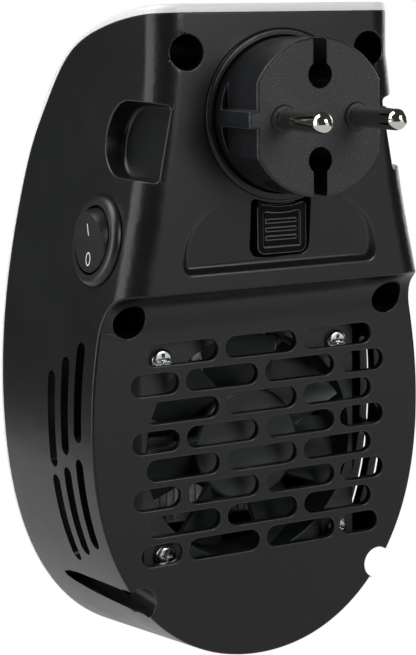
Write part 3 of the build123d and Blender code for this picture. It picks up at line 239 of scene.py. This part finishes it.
# what all metals share, the width in mm
metalLook = {"scratchDetail": 3.0, "cloudWidth": 3, "cloudDetail": 2.0, "cloudSpan": (0.3, 0.7)}


def finishedMetal(name, ownLook):
    # a plated, drawn or ground metal: fine scratches and a little uneven gloss
    look = {**metalLook, **ownLook}
    material, tree = newMaterial(name)
    place = add(tree, "ShaderNodeTexCoord").outputs["Object"]
    scratch = add(tree, "ShaderNodeTexNoise", {
        "Vector": place, "Scale": 1 / (look["scratch"] * mm), "Detail": look["scratchDetail"],
    })
    cloud = add(tree, "ShaderNodeTexNoise", {
        "Vector": place, "Scale": 1 / (look["cloudWidth"] * mm), "Detail": look["cloudDetail"],
    })
    gloss = add(tree, "ShaderNodeMapRange", {
        "Value": cloud.outputs["Fac"],
        "From Min": look["cloudSpan"][0], "From Max": look["cloudSpan"][1],
        "To Min": look["rough"] - look["uneven"], "To Max": look["rough"] + look["uneven"],
    })
    bump = add(tree, "ShaderNodeBump", {
        "Height": scratch.outputs["Fac"], "Strength": 1.0, "Distance": look["depth"] * mm,
    })
    shader = add(tree, "ShaderNodeBsdfPrincipled", {
        "Base Color": srgb(look["colour"]), "Metallic": 1.0, "Roughness": gloss.outputs[0],
        "Normal": bump.outputs[0],
    })
    return finishMaterial(material, tree, shader)


# metals: scratch and depth are the width and height of the finest marks in mm
metals = {
    # nickel on brass, barrel polished: mirror bright with a warm cast
    "polishedNickel": {
        "colour": "#cfccc4", "rough": 0.07, "uneven": 0.02, "scratch": 0.3, "depth": 0.0004,
    },
    # brass, turned or punched: warm and lightly marked
    "machinedBrass": {
        "colour": "#c9a45a", "rough": 0.28, "uneven": 0.05, "scratch": 0.3, "depth": 0.004,
    },
    # bright zinc on steel: cool, slightly mottled
    "zincPlate": {
        "colour": "#c8cacb", "rough": 0.24, "uneven": 0.06, "scratch": 0.3, "depth": 0.004,
    },
    # tin solder, cooled in air: pale grey and slightly rippled
    "tinSolder": {
        "colour": "#b4b6b8", "rough": 0.22, "uneven": 0.06, "scratch": 0.5, "depth": 0.012,
    },
    # drawn spring wire: grey with fine marks
    "springWire": {
        "colour": "#9c9da0", "rough": 0.25, "uneven": 0.05, "scratch": 0.3, "depth": 0.002,
    },
    # ground steel of the shaft: bright and even
    "groundSteel": {
        "colour": "#c4c5c7", "rough": 0.2, "uneven": 0.04, "scratch": 0.2, "depth": 0.002,
    },
    # electrical steel sheets under brown lacquer: a dull bronze
    "lacqueredLaminations": {
        "colour": "#6a5238", "rough": 0.4, "uneven": 0.06, "scratch": 0.5, "depth": 0.01,
    },
    # rolled aluminium, mill finish: pale and satin
    "millAluminium": {
        "colour": "#cfd0d2", "rough": 0.34, "uneven": 0.06, "scratch": 0.4, "depth": 0.006,
    },
}
materials = {name: mouldedPlastic(name, look) for name, look in plastics.items()}
materials.update({name: finishedMetal(name, look) for name, look in metals.items()})
print("materials made:", len(materials))

# each piece's finish, and the radius of its moulded edges in mm
finishes = {
    "rear_housing": ("blackAbs", 0.35),
    "plug_body": ("blackPolyamide", 0.2),
    "plug_cap": ("blackPolyamide", 0.15),
    "plug_ring": ("blackAbs", 0.0),
    "plug_retainer": ("blackAbs", 0.15),
    "release_button": ("blackMattAbs", 0.14),
    "front_cover": ("whiteAbs", 0.0),
    "outlet_grille": ("blackAbs", 0.2),
    "switch_body": ("blackPolycarbonate", 0.0),
    "switch_rocker": ("blackPolycarbonate", 0.0),
    "fan_frame": ("greyPbt", 0.25),
    "fan_rotor": ("greyPbt", 0.12),
    "air_duct": ("filledPolyamide", 0.2),
    "heater_frame": ("filledPolyamide", 0.15),
    "display_window": ("smokedAcrylic", 0.1),
    "display_module": ("blackSmoothAbs", 0.15),
    "key_timer": ("greyPbt", 0.08),
    "key_down": ("greyPbt", 0.08),
    "key_up": ("greyPbt", 0.08),
    "key_speed": ("greyPbt", 0.08),
    "key_switches": ("blackSmoothAbs", 0.1),
    "plug_pins": ("polishedNickel", 0.0),
    "plug_terminals": ("machinedBrass", 0.08),
    "switch_blades": ("machinedBrass", 0.06),
    "retainer_screws": ("zincPlate", 0.08),
    "housing_screws": ("zincPlate", 0.08),
    "fan_screws": ("zincPlate", 0.08),
    "duct_screws": ("zincPlate", 0.06),
    "control_screws": ("zincPlate", 0.06),
    "power_screws": ("zincPlate", 0.06),
    "release_spring": ("springWire", 0.0),
    "fan_motor": ("lacqueredLaminations", 0.1),
    "fan_bearings": ("machinedBrass", 0.05),
    "fan_shaft": ("groundSteel", 0.05),
    "heater_bars": ("millAluminium", 0.1),
    "heater_fins": ("millAluminium", 0.0),
    "heater_terminals": ("zincPlate", 0.06),
    "thermal_cutout": ("millAluminium", 0.15),
    "thermal_fuse": ("glazedCeramic", 0.12),
    "control_board": ("boardEpoxy", 0.0),
    "power_board": ("boardEpoxy", 0.0),
    "relay": ("relayPbt", 0.3),
    "film_capacitor": ("filmCapacitorPbt", 0.4),
    "smoothing_capacitor": ("millAluminium", 0.3),
    "transformer": ("windingTape", 0.25),
    "board_connector": ("whiteAbs", 0.15),
}

# how a CAD mesh is merged: lengths in mm, angles in degrees
merging = {
    "sameCorner": 0.002, "sameFace": 0.5,
    "slopeBack": 0.9, "slopeDown": (0.03, 0.3),  # a sloping floor, told by its normal's y and z
    "cutAllOver": ("release_button",),  # pieces with every concave face cut
}


def mergedCopy(node, name):
    # the CAD mesh is loose triangles: this joins them and gives the flat faces back
    source = nodes[node]
    mesh = source.data.copy()
    mesh.name = name
    mesh.transform(source.matrix_world)
    soft = bmesh.new()
    soft.from_mesh(mesh)
    bmesh.ops.remove_doubles(soft, verts=soft.verts, dist=merging["sameCorner"] * mm)
    bmesh.ops.dissolve_limit(
        soft, angle_limit=math.radians(merging["sameFace"]), verts=soft.verts, edges=soft.edges,
        delimit={"NORMAL"},
    )
    # a face that slopes round a hole is cut into convex ones, so that its edges bevel cleanly
    least, most = merging["slopeDown"]
    sloping = [
        face for face in soft.faces
        if face.normal.y > merging["slopeBack"] and least < abs(face.normal.z) < most
    ]
    cut = soft.faces if node in merging["cutAllOver"] else sloping
    bmesh.ops.connect_verts_concave(soft, faces=cut)
    soft.to_mesh(mesh)
    soft.free()
    return newObject(name, mesh)


switchSeat = (39.2, -36.0, -29.0)  # the middle of the switch, on the flank

# where edges stay as the mould left them, on both flanks: lengths in mm
crispEdges = {
    "seatReach": 13.0, "ventReach": 12.0, "ventDepth": -44.3,
    "besideVents": (  # x and z down the side vents
        (46.0, -58.0), (46.0, -68.0), (46.0, -78.0), (45.0, -88.0), (43.0, -98.0),
        (39.0, -108.0), (36.0, -114.0),
    ),
}
crispSpots = {"rear_housing": [
    *[((side * switchSeat[0], *switchSeat[1:]), crispEdges["seatReach"]) for side in (-1, 1)],
    *[((side * x, crispEdges["ventDepth"], z), crispEdges["ventReach"])
      for side in (-1, 1) for x, z in crispEdges["besideVents"]],
]}

# how edges are softened, angles in degrees
softening = {
    "smooth": 34,  # the sharpest angle left smooth, and the pieces where it is more
    "smoother": {"plug_pins": 40, "release_spring": 60},
    "room": 2.6,  # the faces beside an edge reach this many radii, or the bevel there is narrower
    "leastShare": 0.2,  # an edge with less than this share of its bevel stays sharp
    "segments": 2, "faceWeight": 90,
}


def edgeRoom(edge):
    # how far the two faces beside an edge reach away from it: a bevel there can be no wider
    start, along = edge.verts[0].co, edge.verts[1].co - edge.verts[0].co
    along.normalize()
    reach = []
    for face in edge.link_faces:
        reach.append(max((vert.co - start).cross(along).length for vert in face.verts))
    return min(reach)


def soften(piece, radius, angle, crisp):
    # smooth shading over gentle angles, and a small radius on each sharper edge with room for it
    mesh = piece.data
    soft = bmesh.new()
    soft.from_mesh(mesh)
    weight = soft.edges.layers.float.new("bevel_weight_edge")
    for face in soft.faces:
        face.smooth = True
    for edge in soft.edges:
        if len(edge.link_faces) != 2:
            continue
        if edge.calc_face_angle(0.0) < math.radians(angle):
            continue
        middle = (edge.verts[0].co + edge.verts[1].co) / 2
        calm = any((middle - Vector(spot) * mm).length < reach * mm for spot, reach in crisp)
        share = 0.0
        if radius and not calm:
            share = min(edgeRoom(edge) / (softening["room"] * radius * mm), 1.0)
        if share < softening["leastShare"]:
            edge.smooth = False
        else:
            edge[weight] = share
    soft.to_mesh(mesh)
    soft.free()
    if radius:
        bevel = piece.modifiers.new("mouldedEdge", "BEVEL")
        bevel.width = radius * mm
        bevel.segments = softening["segments"]
        bevel.limit_method = "WEIGHT"
        bevel.use_clamp_overlap = False
        # the bevel's faces take the lighter second finish, a painted highlight, where the piece has
        # one
        bevel.material = 1 if len(mesh.materials) > 1 else 0  # the second finish, if it has one
    flat = piece.modifiers.new("flatFacesStayFlat", "WEIGHTED_NORMAL")
    flat.mode = "FACE_AREA"
    flat.weight = softening["faceWeight"]
    flat.keep_sharp = True


sparkedFace = {"node": "plug_body", "finish": "sparkedPolyamide", "depth": 0.6}  # depth in mm


def sparkFace(piece):
    # the plug's flat face and its pin collars come from the coarse part of the mould
    piece.data.materials.append(materials[sparkedFace["finish"]])
    for polygon in piece.data.polygons:
        if polygon.center.y > -sparkedFace["depth"] * mm:
            polygon.material_index = len(piece.data.materials) - 1


def dressNode(node):
    # a softened copy with its finish stands for the CAD piece, on the same body
    finish, radius = finishes[node]
    piece = mergedCopy(node, "dressed_" + node)
    piece.data.materials.clear()
    piece.data.materials.append(materials[finish])
    # a lighter finish for its edges, where it has one: a painted highlight
    if finish in paintedEdgeHighlights:
        piece.data.materials.append(materials[paintedEdgeHighlights[finish]])
    if node == sparkedFace["node"]:
        sparkFace(piece)
    angle = softening["smoother"].get(node, softening["smooth"])
    soften(piece, radius, angle, crispSpots.get(node, ()))
    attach(piece, bodyOfNode[node])
    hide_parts(node)


for node in nodes:
    dressNode(node)
print("pieces dressed:", len(nodes))


def newGrower(name, sizes):
    # a geometry tree with one named input for each size, a way to face and a material to end in
    tree = bpy.data.node_groups.new(name, "GeometryNodeTree")
    tree.interface.new_socket("Places", in_out="INPUT", socket_type="NodeSocketGeometry")
    for size in sizes:
        tree.interface.new_socket(size, in_out="INPUT", socket_type="NodeSocketFloat")
    tree.interface.new_socket("Facing", in_out="INPUT", socket_type="NodeSocketVector")
    tree.interface.new_socket("Finish", in_out="INPUT", socket_type="NodeSocketMaterial")
    tree.interface.new_socket("Pieces", in_out="OUTPUT", socket_type="NodeSocketGeometry")
    return tree, add(tree, "NodeGroupInput").outputs


def finishGrower(tree, given, shape):
    # one shape on each place, turned to face its way, made real and given its finish
    spread = add(tree, "GeometryNodeInstanceOnPoints", {
        "Points": given["Places"], "Instance": shape, "Rotation": given["Facing"],
    })
    real = add(tree, "GeometryNodeRealizeInstances", {"Geometry": spread.outputs[0]})
    done = add(tree, "GeometryNodeSetMaterial", {
        "Geometry": real.outputs[0], "Material": given["Finish"],
    })
    add(tree, "NodeGroupOutput", {"Pieces": done.outputs[0]})
    return tree


def grow(name, tree, values, facing, finish, places, body):
    # runs a tree on its places, given in mm, and keeps the result as a plain mesh on a body
    seeds = bpy.data.meshes.new(name + "Places")
    seeds.from_pydata([Vector(place) * mm for place in places], [], [])
    piece = newObject(name, seeds)
    grower = piece.modifiers.new("grow", "NODES")
    grower.node_group = tree
    inputs = {size: value * mm for size, value in values.items()}
    inputs.update({"Facing": facing, "Finish": materials[finish]})
    for item in tree.interface.items_tree:
        if item.in_out == "INPUT" and item.name in inputs:
            grower[item.identifier] = inputs[item.name]
    seen = piece.evaluated_get(bpy.context.evaluated_depsgraph_get())
    grown = bpy.data.meshes.new_from_object(seen)
    piece.modifiers.remove(grower)
    piece.data = grown
    grown.name = name
    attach(piece, body)


# the turns that point a shape's z towards the wall, along +Y, or away from it
rearward, forward = (-math.pi / 2, 0, 0), (math.pi / 2, 0, 0)

# the threads, in mm; for each kind of screw: the radius of its shank, how far its thread runs,
# which way, and where it starts
threads = {
    "pitch": 1.1, "ridge": 0.14, "body": "housing", "finish": "zincPlate",
    "stepsPerTurn": 20, "ridgeSides": 3,
    "runOut": 0.12, "tip": 0.1,  # the share of the length it fades over, and its size at the tip
    "kinds": (
        ("housingScrewThreads", 1.45, 6.6, forward, (
            (-24.2, -48.6, 14.8), (24.2, -48.6, 14.8), (-35.6, -70.6, -47.5),
            (35.6, -70.6, -47.5), (-33.8, -72.6, -117.1), (33.8, -72.6, -117.1),
        )),
        ("fanScrewThreads", 1.45, 7.2, forward, (
            (-24.5, -50.3, -58.6), (24.5, -50.3, -58.6), (-24.5, -50.3, -107.6),
            (24.5, -50.3, -107.6),
        )),
        ("retainerScrewThreads", 1.45, 4.2, rearward, (
            (-15.5, -25.2, 18.9), (15.5, -25.2, 18.9), (-22.0, -25.2, -14.0), (22.0, -25.2, -14.0),
        )),
        ("ductScrewThreads", 1.1, 4.4, forward, (
            (-35.5, -72.6, -68.1), (35.5, -72.6, -68.1), (-35.5, -72.6, -98.1),
            (35.5, -72.6, -98.1),
        )),
        ("controlScrewThreads", 1.1, 4.4, forward, (
            (-20.5, -73.9, -12.0), (20.5, -73.9, -12.0), (-20.5, -73.9, -46.0),
            (20.5, -73.9, -46.0),
        )),
        ("powerScrewThreads", 1.1, 4.4, rearward, (
            (-24.8, -51.7, 3.9), (24.8, -51.7, 3.9), (-20.5, -51.7, -42.4), (20.5, -51.7, -42.4),
        )),
    ),
}


def threadGrower():
    # a rolled right-hand thread: a ridge swept along a spiral, running out to a tip at both ends
    tree, given = newGrower("rolledThread", ("Radius", "Ridge", "Pitch", "Length"))
    turns = add(tree, "ShaderNodeMath", {
        0: given["Length"], 1: given["Pitch"],
    }, operation="DIVIDE")
    spiral = add(tree, "GeometryNodeCurveSpiral", {
        "Resolution": threads["stepsPerTurn"], "Rotations": turns.outputs[0],
        "Start Radius": given["Radius"], "End Radius": given["Radius"],
        "Height": given["Length"], "Reverse": True,  # unreversed, it is left-handed
    })
    along = add(tree, "GeometryNodeSplineParameter").outputs["Factor"]
    toEnd = add(tree, "ShaderNodeMath", {0: 1.0, 1: along}, operation="SUBTRACT")
    nearest = add(tree, "ShaderNodeMath", {0: along, 1: toEnd.outputs[0]}, operation="MINIMUM")
    runOut = add(tree, "ShaderNodeMapRange", {
        "Value": nearest.outputs[0], "From Max": threads["runOut"], "To Min": threads["tip"],
    })
    tapered = add(tree, "GeometryNodeSetCurveRadius", {
        "Curve": spiral.outputs[0], "Radius": runOut.outputs[0],
    })
    ridge = add(tree, "GeometryNodeCurvePrimitiveCircle", {
        "Resolution": threads["ridgeSides"], "Radius": given["Ridge"],
    })
    sweep = add(tree, "GeometryNodeCurveToMesh", {
        "Curve": tapered.outputs[0], "Profile Curve": ridge.outputs[0], "Fill Caps": True,
    })
    return finishGrower(tree, given, sweep.outputs[0])


rolledThread = threadGrower()
for name, radius, length, way, places in threads["kinds"]:
    sizes = {
        "Radius": radius, "Ridge": threads["ridge"], "Pitch": threads["pitch"], "Length": length,
    }
    grow(name, rolledThread, sizes, way, threads["finish"], places, threads["body"])
print("threads rolled")

# x and z of the joints of the power board, in mm
powerLegs = (
    (-14.0, -37.0), (-4.0, -37.0), (-14.0, -23.0), (-4.0, -23.0), (-9.0, -37.0),  # relay
    (6.0, -38.5), (6.0, -23.5),  # film capacitor
    (9.5, -10.0), (14.5, -10.0),  # smoothing capacitor
    (-18.0, -13.0), (-18.0, -3.0), (-2.0, -13.0), (-2.0, -8.0), (-2.0, -3.0),  # transformer
    (9.5, 3.0), (12.0, 3.0), (14.5, 3.0),  # connector
)
# and of the control board: four legs under each key's switch, and two rows under the display
controlBoard = {
    "keys": (-16.5, -5.5, 5.5, 16.5), "keyHeight": -37.5, "legs": (-2.2, 2.2),
    "pins": 10, "firstPin": -11.25, "pinStep": 2.5, "pinRows": (-22.5, -13.5),
}
keyLegs = [
    (key + across, controlBoard["keyHeight"] + up) for key in controlBoard["keys"]
    for across in controlBoard["legs"] for up in controlBoard["legs"]
]
displayPins = [
    (controlBoard["firstPin"] + controlBoard["pinStep"] * i, z)
    for i in range(controlBoard["pins"]) for z in controlBoard["pinRows"]
]
# the solder joints, in mm; for each board: the y of its solder side, the way it faces, the places
solder = {
    "sizes": {"Radius": 0.95, "Height": 1.5, "Wire": 0.35},
    "coneHeight": 0.75,  # as a share of the joint's
    "coneSides": 14, "wireSides": 10,
    "body": "housing", "finish": "tinSolder",
    "boards": (
        ("powerSolder", -53.6, forward, powerLegs),
        ("controlSolder", -72.0, rearward, keyLegs + displayPins),
    ),
}


def solderGrower():
    # a solder joint: a low cone that has crept up a cut wire end
    tree, given = newGrower("solderJoint", ("Radius", "Height", "Wire"))
    creep = add(tree, "ShaderNodeMath", {
        0: given["Height"], 1: solder["coneHeight"],
    }, operation="MULTIPLY")
    cone = add(tree, "GeometryNodeMeshCone", {
        "Vertices": solder["coneSides"], "Radius Top": given["Wire"],
        "Radius Bottom": given["Radius"], "Depth": creep.outputs[0],
    })
    wire = add(tree, "GeometryNodeMeshCylinder", {
        "Vertices": solder["wireSides"], "Radius": given["Wire"], "Depth": given["Height"],
    })
    half = add(tree, "ShaderNodeMath", {0: given["Height"], 1: 0.5}, operation="MULTIPLY")
    lift = add(tree, "ShaderNodeCombineXYZ", {"Z": half.outputs[0]})
    stub = add(tree, "GeometryNodeTransform", {
        "Geometry": wire.outputs[0], "Translation": lift.outputs[0],
    })
    both = add(tree, "GeometryNodeJoinGeometry")
    for part in (cone, stub):
        tree.links.new(part.outputs[0], both.inputs[0])
    return finishGrower(tree, given, both.outputs[0])


solderJoint = solderGrower()
for name, y, way, spots in solder["boards"]:
    places = [(x, y, z) for x, z in spots]
    grow(name, solderJoint, solder["sizes"], way, solder["finish"], places, solder["body"])
print("boards soldered")

# the printed I and 0: lengths in mm, angles in degrees
switchMarks = {
    "tilt": 11.4, "lean": 3.7,  # how the switch's axis leans up and back from +X
    "pivotDepth": 0.4, "faceHeight": 3.0, "valley": 6.0, "throw": 22.0,  # of the rocker
    "barPlace": 3.0, "barWidth": 0.4, "barHeight": 2.8,
    "ringPlace": -4.0, "ringWidth": 2.3, "ringHeight": 3.3, "line": 0.34, "ringSides": 32,
    "lift": 0.03,  # how far the ink stands proud, and how far it sinks in
    "finish": "whiteInk", "body": "rocker",
}


def switchFace(marks, place):
    # a frame on the rocker's half face: x along the rocker's axle, y up the face, z out of it
    tilt, lean = math.radians(marks["tilt"]), math.radians(marks["lean"])
    out = Vector((
        math.cos(tilt) * math.cos(lean), math.sin(lean), math.sin(tilt) * math.cos(lean),
    ))
    along = Vector((
        -math.cos(tilt) * math.sin(lean), math.cos(lean), -math.sin(tilt) * math.sin(lean),
    ))
    up = out.cross(along)
    base = Matrix((along, up, out)).transposed().to_4x4()
    base.translation = Vector(switchSeat) * mm - out * marks["pivotDepth"] * mm
    rise = Matrix.Translation((0, 0, marks["faceHeight"] * mm))
    half = math.copysign(1, place)  # which half of the face: 1 above the axle, -1 below it
    lift = Matrix.Translation((0, place * mm, marks["lift"] * mm))
    atRest = Matrix.Rotation(math.radians(marks["throw"] / 2), 4, "X")
    slope = Matrix.Rotation(math.radians(half * marks["valley"]), 4, "X")
    return base @ atRest @ rise @ slope @ lift


def flatMark(name, outline, hole, place):
    # a printed mark: a thin closed plate inside an outline and round an optional hole
    count, depth = len(outline), 2 * switchMarks["lift"] * mm
    rings = (outline, hole) if hole else (outline,)
    corners = [(x, y, z) for ring in rings for z in (0, -depth) for x, y in ring]
    under, holeTop, holeUnder = count, 2 * count, 3 * count  # where each further ring starts
    sides = [(i, (i + 1) % count) for i in range(count)]
    faces = [(i, i + under, j + under, j) for i, j in sides]
    if hole:
        faces += [(j + holeTop, j + holeUnder, i + holeUnder, i + holeTop) for i, j in sides]
        faces += [(i, j, j + holeTop, i + holeTop) for i, j in sides]
        faces += [(i + holeUnder, j + holeUnder, j + under, i + under) for i, j in sides]
    else:
        faces += [range(count), range(under + count - 1, under - 1, -1)]
    mesh = bpy.data.meshes.new(name)
    mesh.from_pydata(corners, [], faces)
    mesh.transform(place)
    mesh.materials.append(materials[switchMarks["finish"]])
    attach(newObject(name, mesh), switchMarks["body"])


def ellipse(width, height):
    count = switchMarks["ringSides"]
    turns = [2 * math.pi * i / count for i in range(count)]
    return [(width / 2 * math.cos(t) * mm, height / 2 * math.sin(t) * mm) for t in turns]


def printMarks(marks):
    halfWidth, halfHeight = marks["barWidth"] / 2 * mm, marks["barHeight"] / 2 * mm
    bar = [(x * halfWidth, y * halfHeight) for x, y in ((-1, -1), (1, -1), (1, 1), (-1, 1))]
    outer = ellipse(marks["ringWidth"], marks["ringHeight"])
    inner = ellipse(marks["ringWidth"] - 2 * marks["line"], marks["ringHeight"] - 2 * marks["line"])
    flatMark("markOn", bar, None, switchFace(marks, marks["barPlace"]))
    flatMark("markOff", outer, inner, switchFace(marks, marks["ringPlace"]))


printMarks(switchMarks)
print("switch marked")

# the photograph's view: angles in degrees, lengths in mm, focal length and principal point in
# pixels, and the clipping distances in metres
photoView = {
    "azimuth": 151.93, "elevation": 9.81, "roll": -0.715, "distance": 400.1,
    "aim": (21.2, 0.0, -44.7), "focalPixels": 1788.0, "principal": (239.9, 322.05),
    "image": (416.0, 655.0), "sensor": 36.0, "clip": (0.01, 20),
}


def makeCamera(view):
    azimuth, elevation = math.radians(view["azimuth"]), math.radians(view["elevation"])
    back = Vector((
        math.sin(azimuth) * math.cos(elevation), -math.cos(azimuth) * math.cos(elevation),
        math.sin(elevation),
    ))
    camera = bpy.data.cameras.new("photoCamera")
    holder = newObject("photoCamera", camera)
    level = (-back).to_track_quat("-Z", "Y").to_matrix().to_4x4()
    turn = level @ Matrix.Rotation(math.radians(view["roll"]), 4, "Z")
    spot = (Vector(view["aim"]) + back * view["distance"]) * mm
    holder.matrix_world = Matrix.Translation(spot) @ turn
    width, height = view["image"]
    camera.sensor_width = view["sensor"]
    camera.lens = view["focalPixels"] / height * view["sensor"]
    camera.shift_x = (width / 2 - view["principal"][0]) / height
    camera.shift_y = (view["principal"][1] - height / 2) / height
    camera.clip_start, camera.clip_end = view["clip"]
    bpy.context.scene.camera = holder


makeCamera(photoView)

paleFloor = {
    "height": -250.0, "radius": 700.0, "sides": 96, "colour": "#a8a8a8", "rough": 0.9,
    "cameraGlow": 1.03, "glossyGlow": 0.75,  # how bright the camera and reflections see it
    "shadowShare": 0.05,  # how much of the lit floor, and so of its shadows, shows
}


def makeFloor(floor):
    disc = bmesh.new()
    bmesh.ops.create_circle(
        disc, cap_ends=True, segments=floor["sides"], radius=floor["radius"] * mm,
    )
    bmesh.ops.translate(disc, verts=disc.verts, vec=(0, 0, floor["height"] * mm))
    mesh = bpy.data.meshes.new("floor")
    disc.to_mesh(mesh)
    disc.free()
    sheet = newObject("floor", mesh)
    material, tree = newMaterial("paleFloor")
    shader = add(tree, "ShaderNodeBsdfPrincipled", {
        "Base Color": srgb(floor["colour"]), "Roughness": floor["rough"],
    })
    rays = add(tree, "ShaderNodeLightPath").outputs
    strength = add(tree, "ShaderNodeMapRange", {
        "Value": rays["Is Camera Ray"],
        "To Min": floor["glossyGlow"], "To Max": floor["cameraGlow"],
    })
    glow = add(tree, "ShaderNodeEmission", {
        "Color": srgb("#ffffff"), "Strength": strength.outputs[0],
    })
    either = add(tree, "ShaderNodeMath", {
        0: rays["Is Camera Ray"], 1: rays["Is Glossy Ray"],
    }, operation="MAXIMUM")
    seen = add(tree, "ShaderNodeMath", {
        0: either.outputs[0], 1: 1 - floor["shadowShare"],
    }, operation="MULTIPLY")
    mix = add(tree, "ShaderNodeMixShader", {
        "Fac": seen.outputs[0], 1: shader.outputs[0], 2: glow.outputs[0],
    })
    mesh.materials.append(finishMaterial(material, tree, mix))


makeFloor(paleFloor)

# soft boxes: the way to each from the object, its distance, width and height in mm, and its watts
lamps = {
    "boxLeft": ((0.885, -0.31, 0.14), 800, 620, 740, 4.4),
    "topSoft": ((0.5, -0.25, 0.83), 800, 500, 560, 4.8),
    "boxRear": ((-0.26, 0.89, 0.38), 1000, 420, 520, 6.0),
    "frontFill": ((-0.3, -0.95, 0.0), 900, 500, 500, 2.2),
    "farFill": ((-0.9, -0.4, 0.18), 1000, 500, 500, 1.6),
}


def hangLamp(name, way, distance, width, height, watts):
    lamp = bpy.data.lights.new(name, "AREA")
    lamp.shape = "RECTANGLE"
    lamp.size, lamp.size_y, lamp.energy = width * mm, height * mm, watts
    holder = newObject(name, lamp)
    aim = Vector(photoView["aim"]) * mm
    holder.location = aim + Vector(way).normalized() * distance * mm
    holder.rotation_euler = (aim - holder.location).to_track_quat("-Z", "Y").to_euler()


for name, lamp in lamps.items():
    hangLamp(name, *lamp)

paleRoom = {
    "background": 1.0, "dim": 0.045,  # what the camera sees, and the even light on the object
    # pale parts of the room that light the object and show in its gloss: the way to each,
    # the cosines between which it fades in, and its strength
    "patches": (
        ((-0.476, -0.863, -0.17), 0.8, 0.92, 0.9),
        ((-0.45, 0.84, -0.32), 0.9, 0.975, 1.1),
        ((0.98, 0.07, -0.12), 0.9, 0.99, 0.4),
        ((0.4, -0.7, -0.6), 0.84, 0.99, 0.12),
    ),
}


def makeRoom(room):
    world = bpy.data.worlds.new("studio")
    bpy.context.scene.world = world
    world.use_nodes = True
    tree = world.node_tree
    tree.nodes.clear()
    rays = add(tree, "ShaderNodeLightPath").outputs
    way = add(tree, "ShaderNodeTexCoord").outputs["Generated"]
    light = room["dim"]
    for toward, start, full, strength in room["patches"]:
        near = add(tree, "ShaderNodeVectorMath", {
            0: way, 1: Vector(toward).normalized(),
        }, operation="DOT_PRODUCT")
        patch = add(tree, "ShaderNodeMapRange", {
            "Value": near.outputs["Value"], "From Min": start, "From Max": full, "To Max": strength,
        })
        both = add(tree, "ShaderNodeMath", {0: light, 1: patch.outputs[0]}, operation="ADD")
        light = both.outputs[0]
    bright = add(tree, "ShaderNodeBackground", {
        "Color": srgb("#ffffff"), "Strength": room["background"],
    })
    fill = add(tree, "ShaderNodeBackground", {"Color": srgb("#ffffff"), "Strength": light})
    either = add(tree, "ShaderNodeMath", {
        0: rays["Is Camera Ray"], 1: rays["Is Transmission Ray"],
    }, operation="MAXIMUM")
    mix = add(tree, "ShaderNodeMixShader", {
        "Fac": either.outputs[0], 1: fill.outputs[0], 2: bright.outputs[0],
    })
    add(tree, "ShaderNodeOutputWorld", {"Surface": mix.outputs[0]})


makeRoom(paleRoom)
bpy.context.scene.view_settings.view_transform = "Standard"
print("camera and studio set")
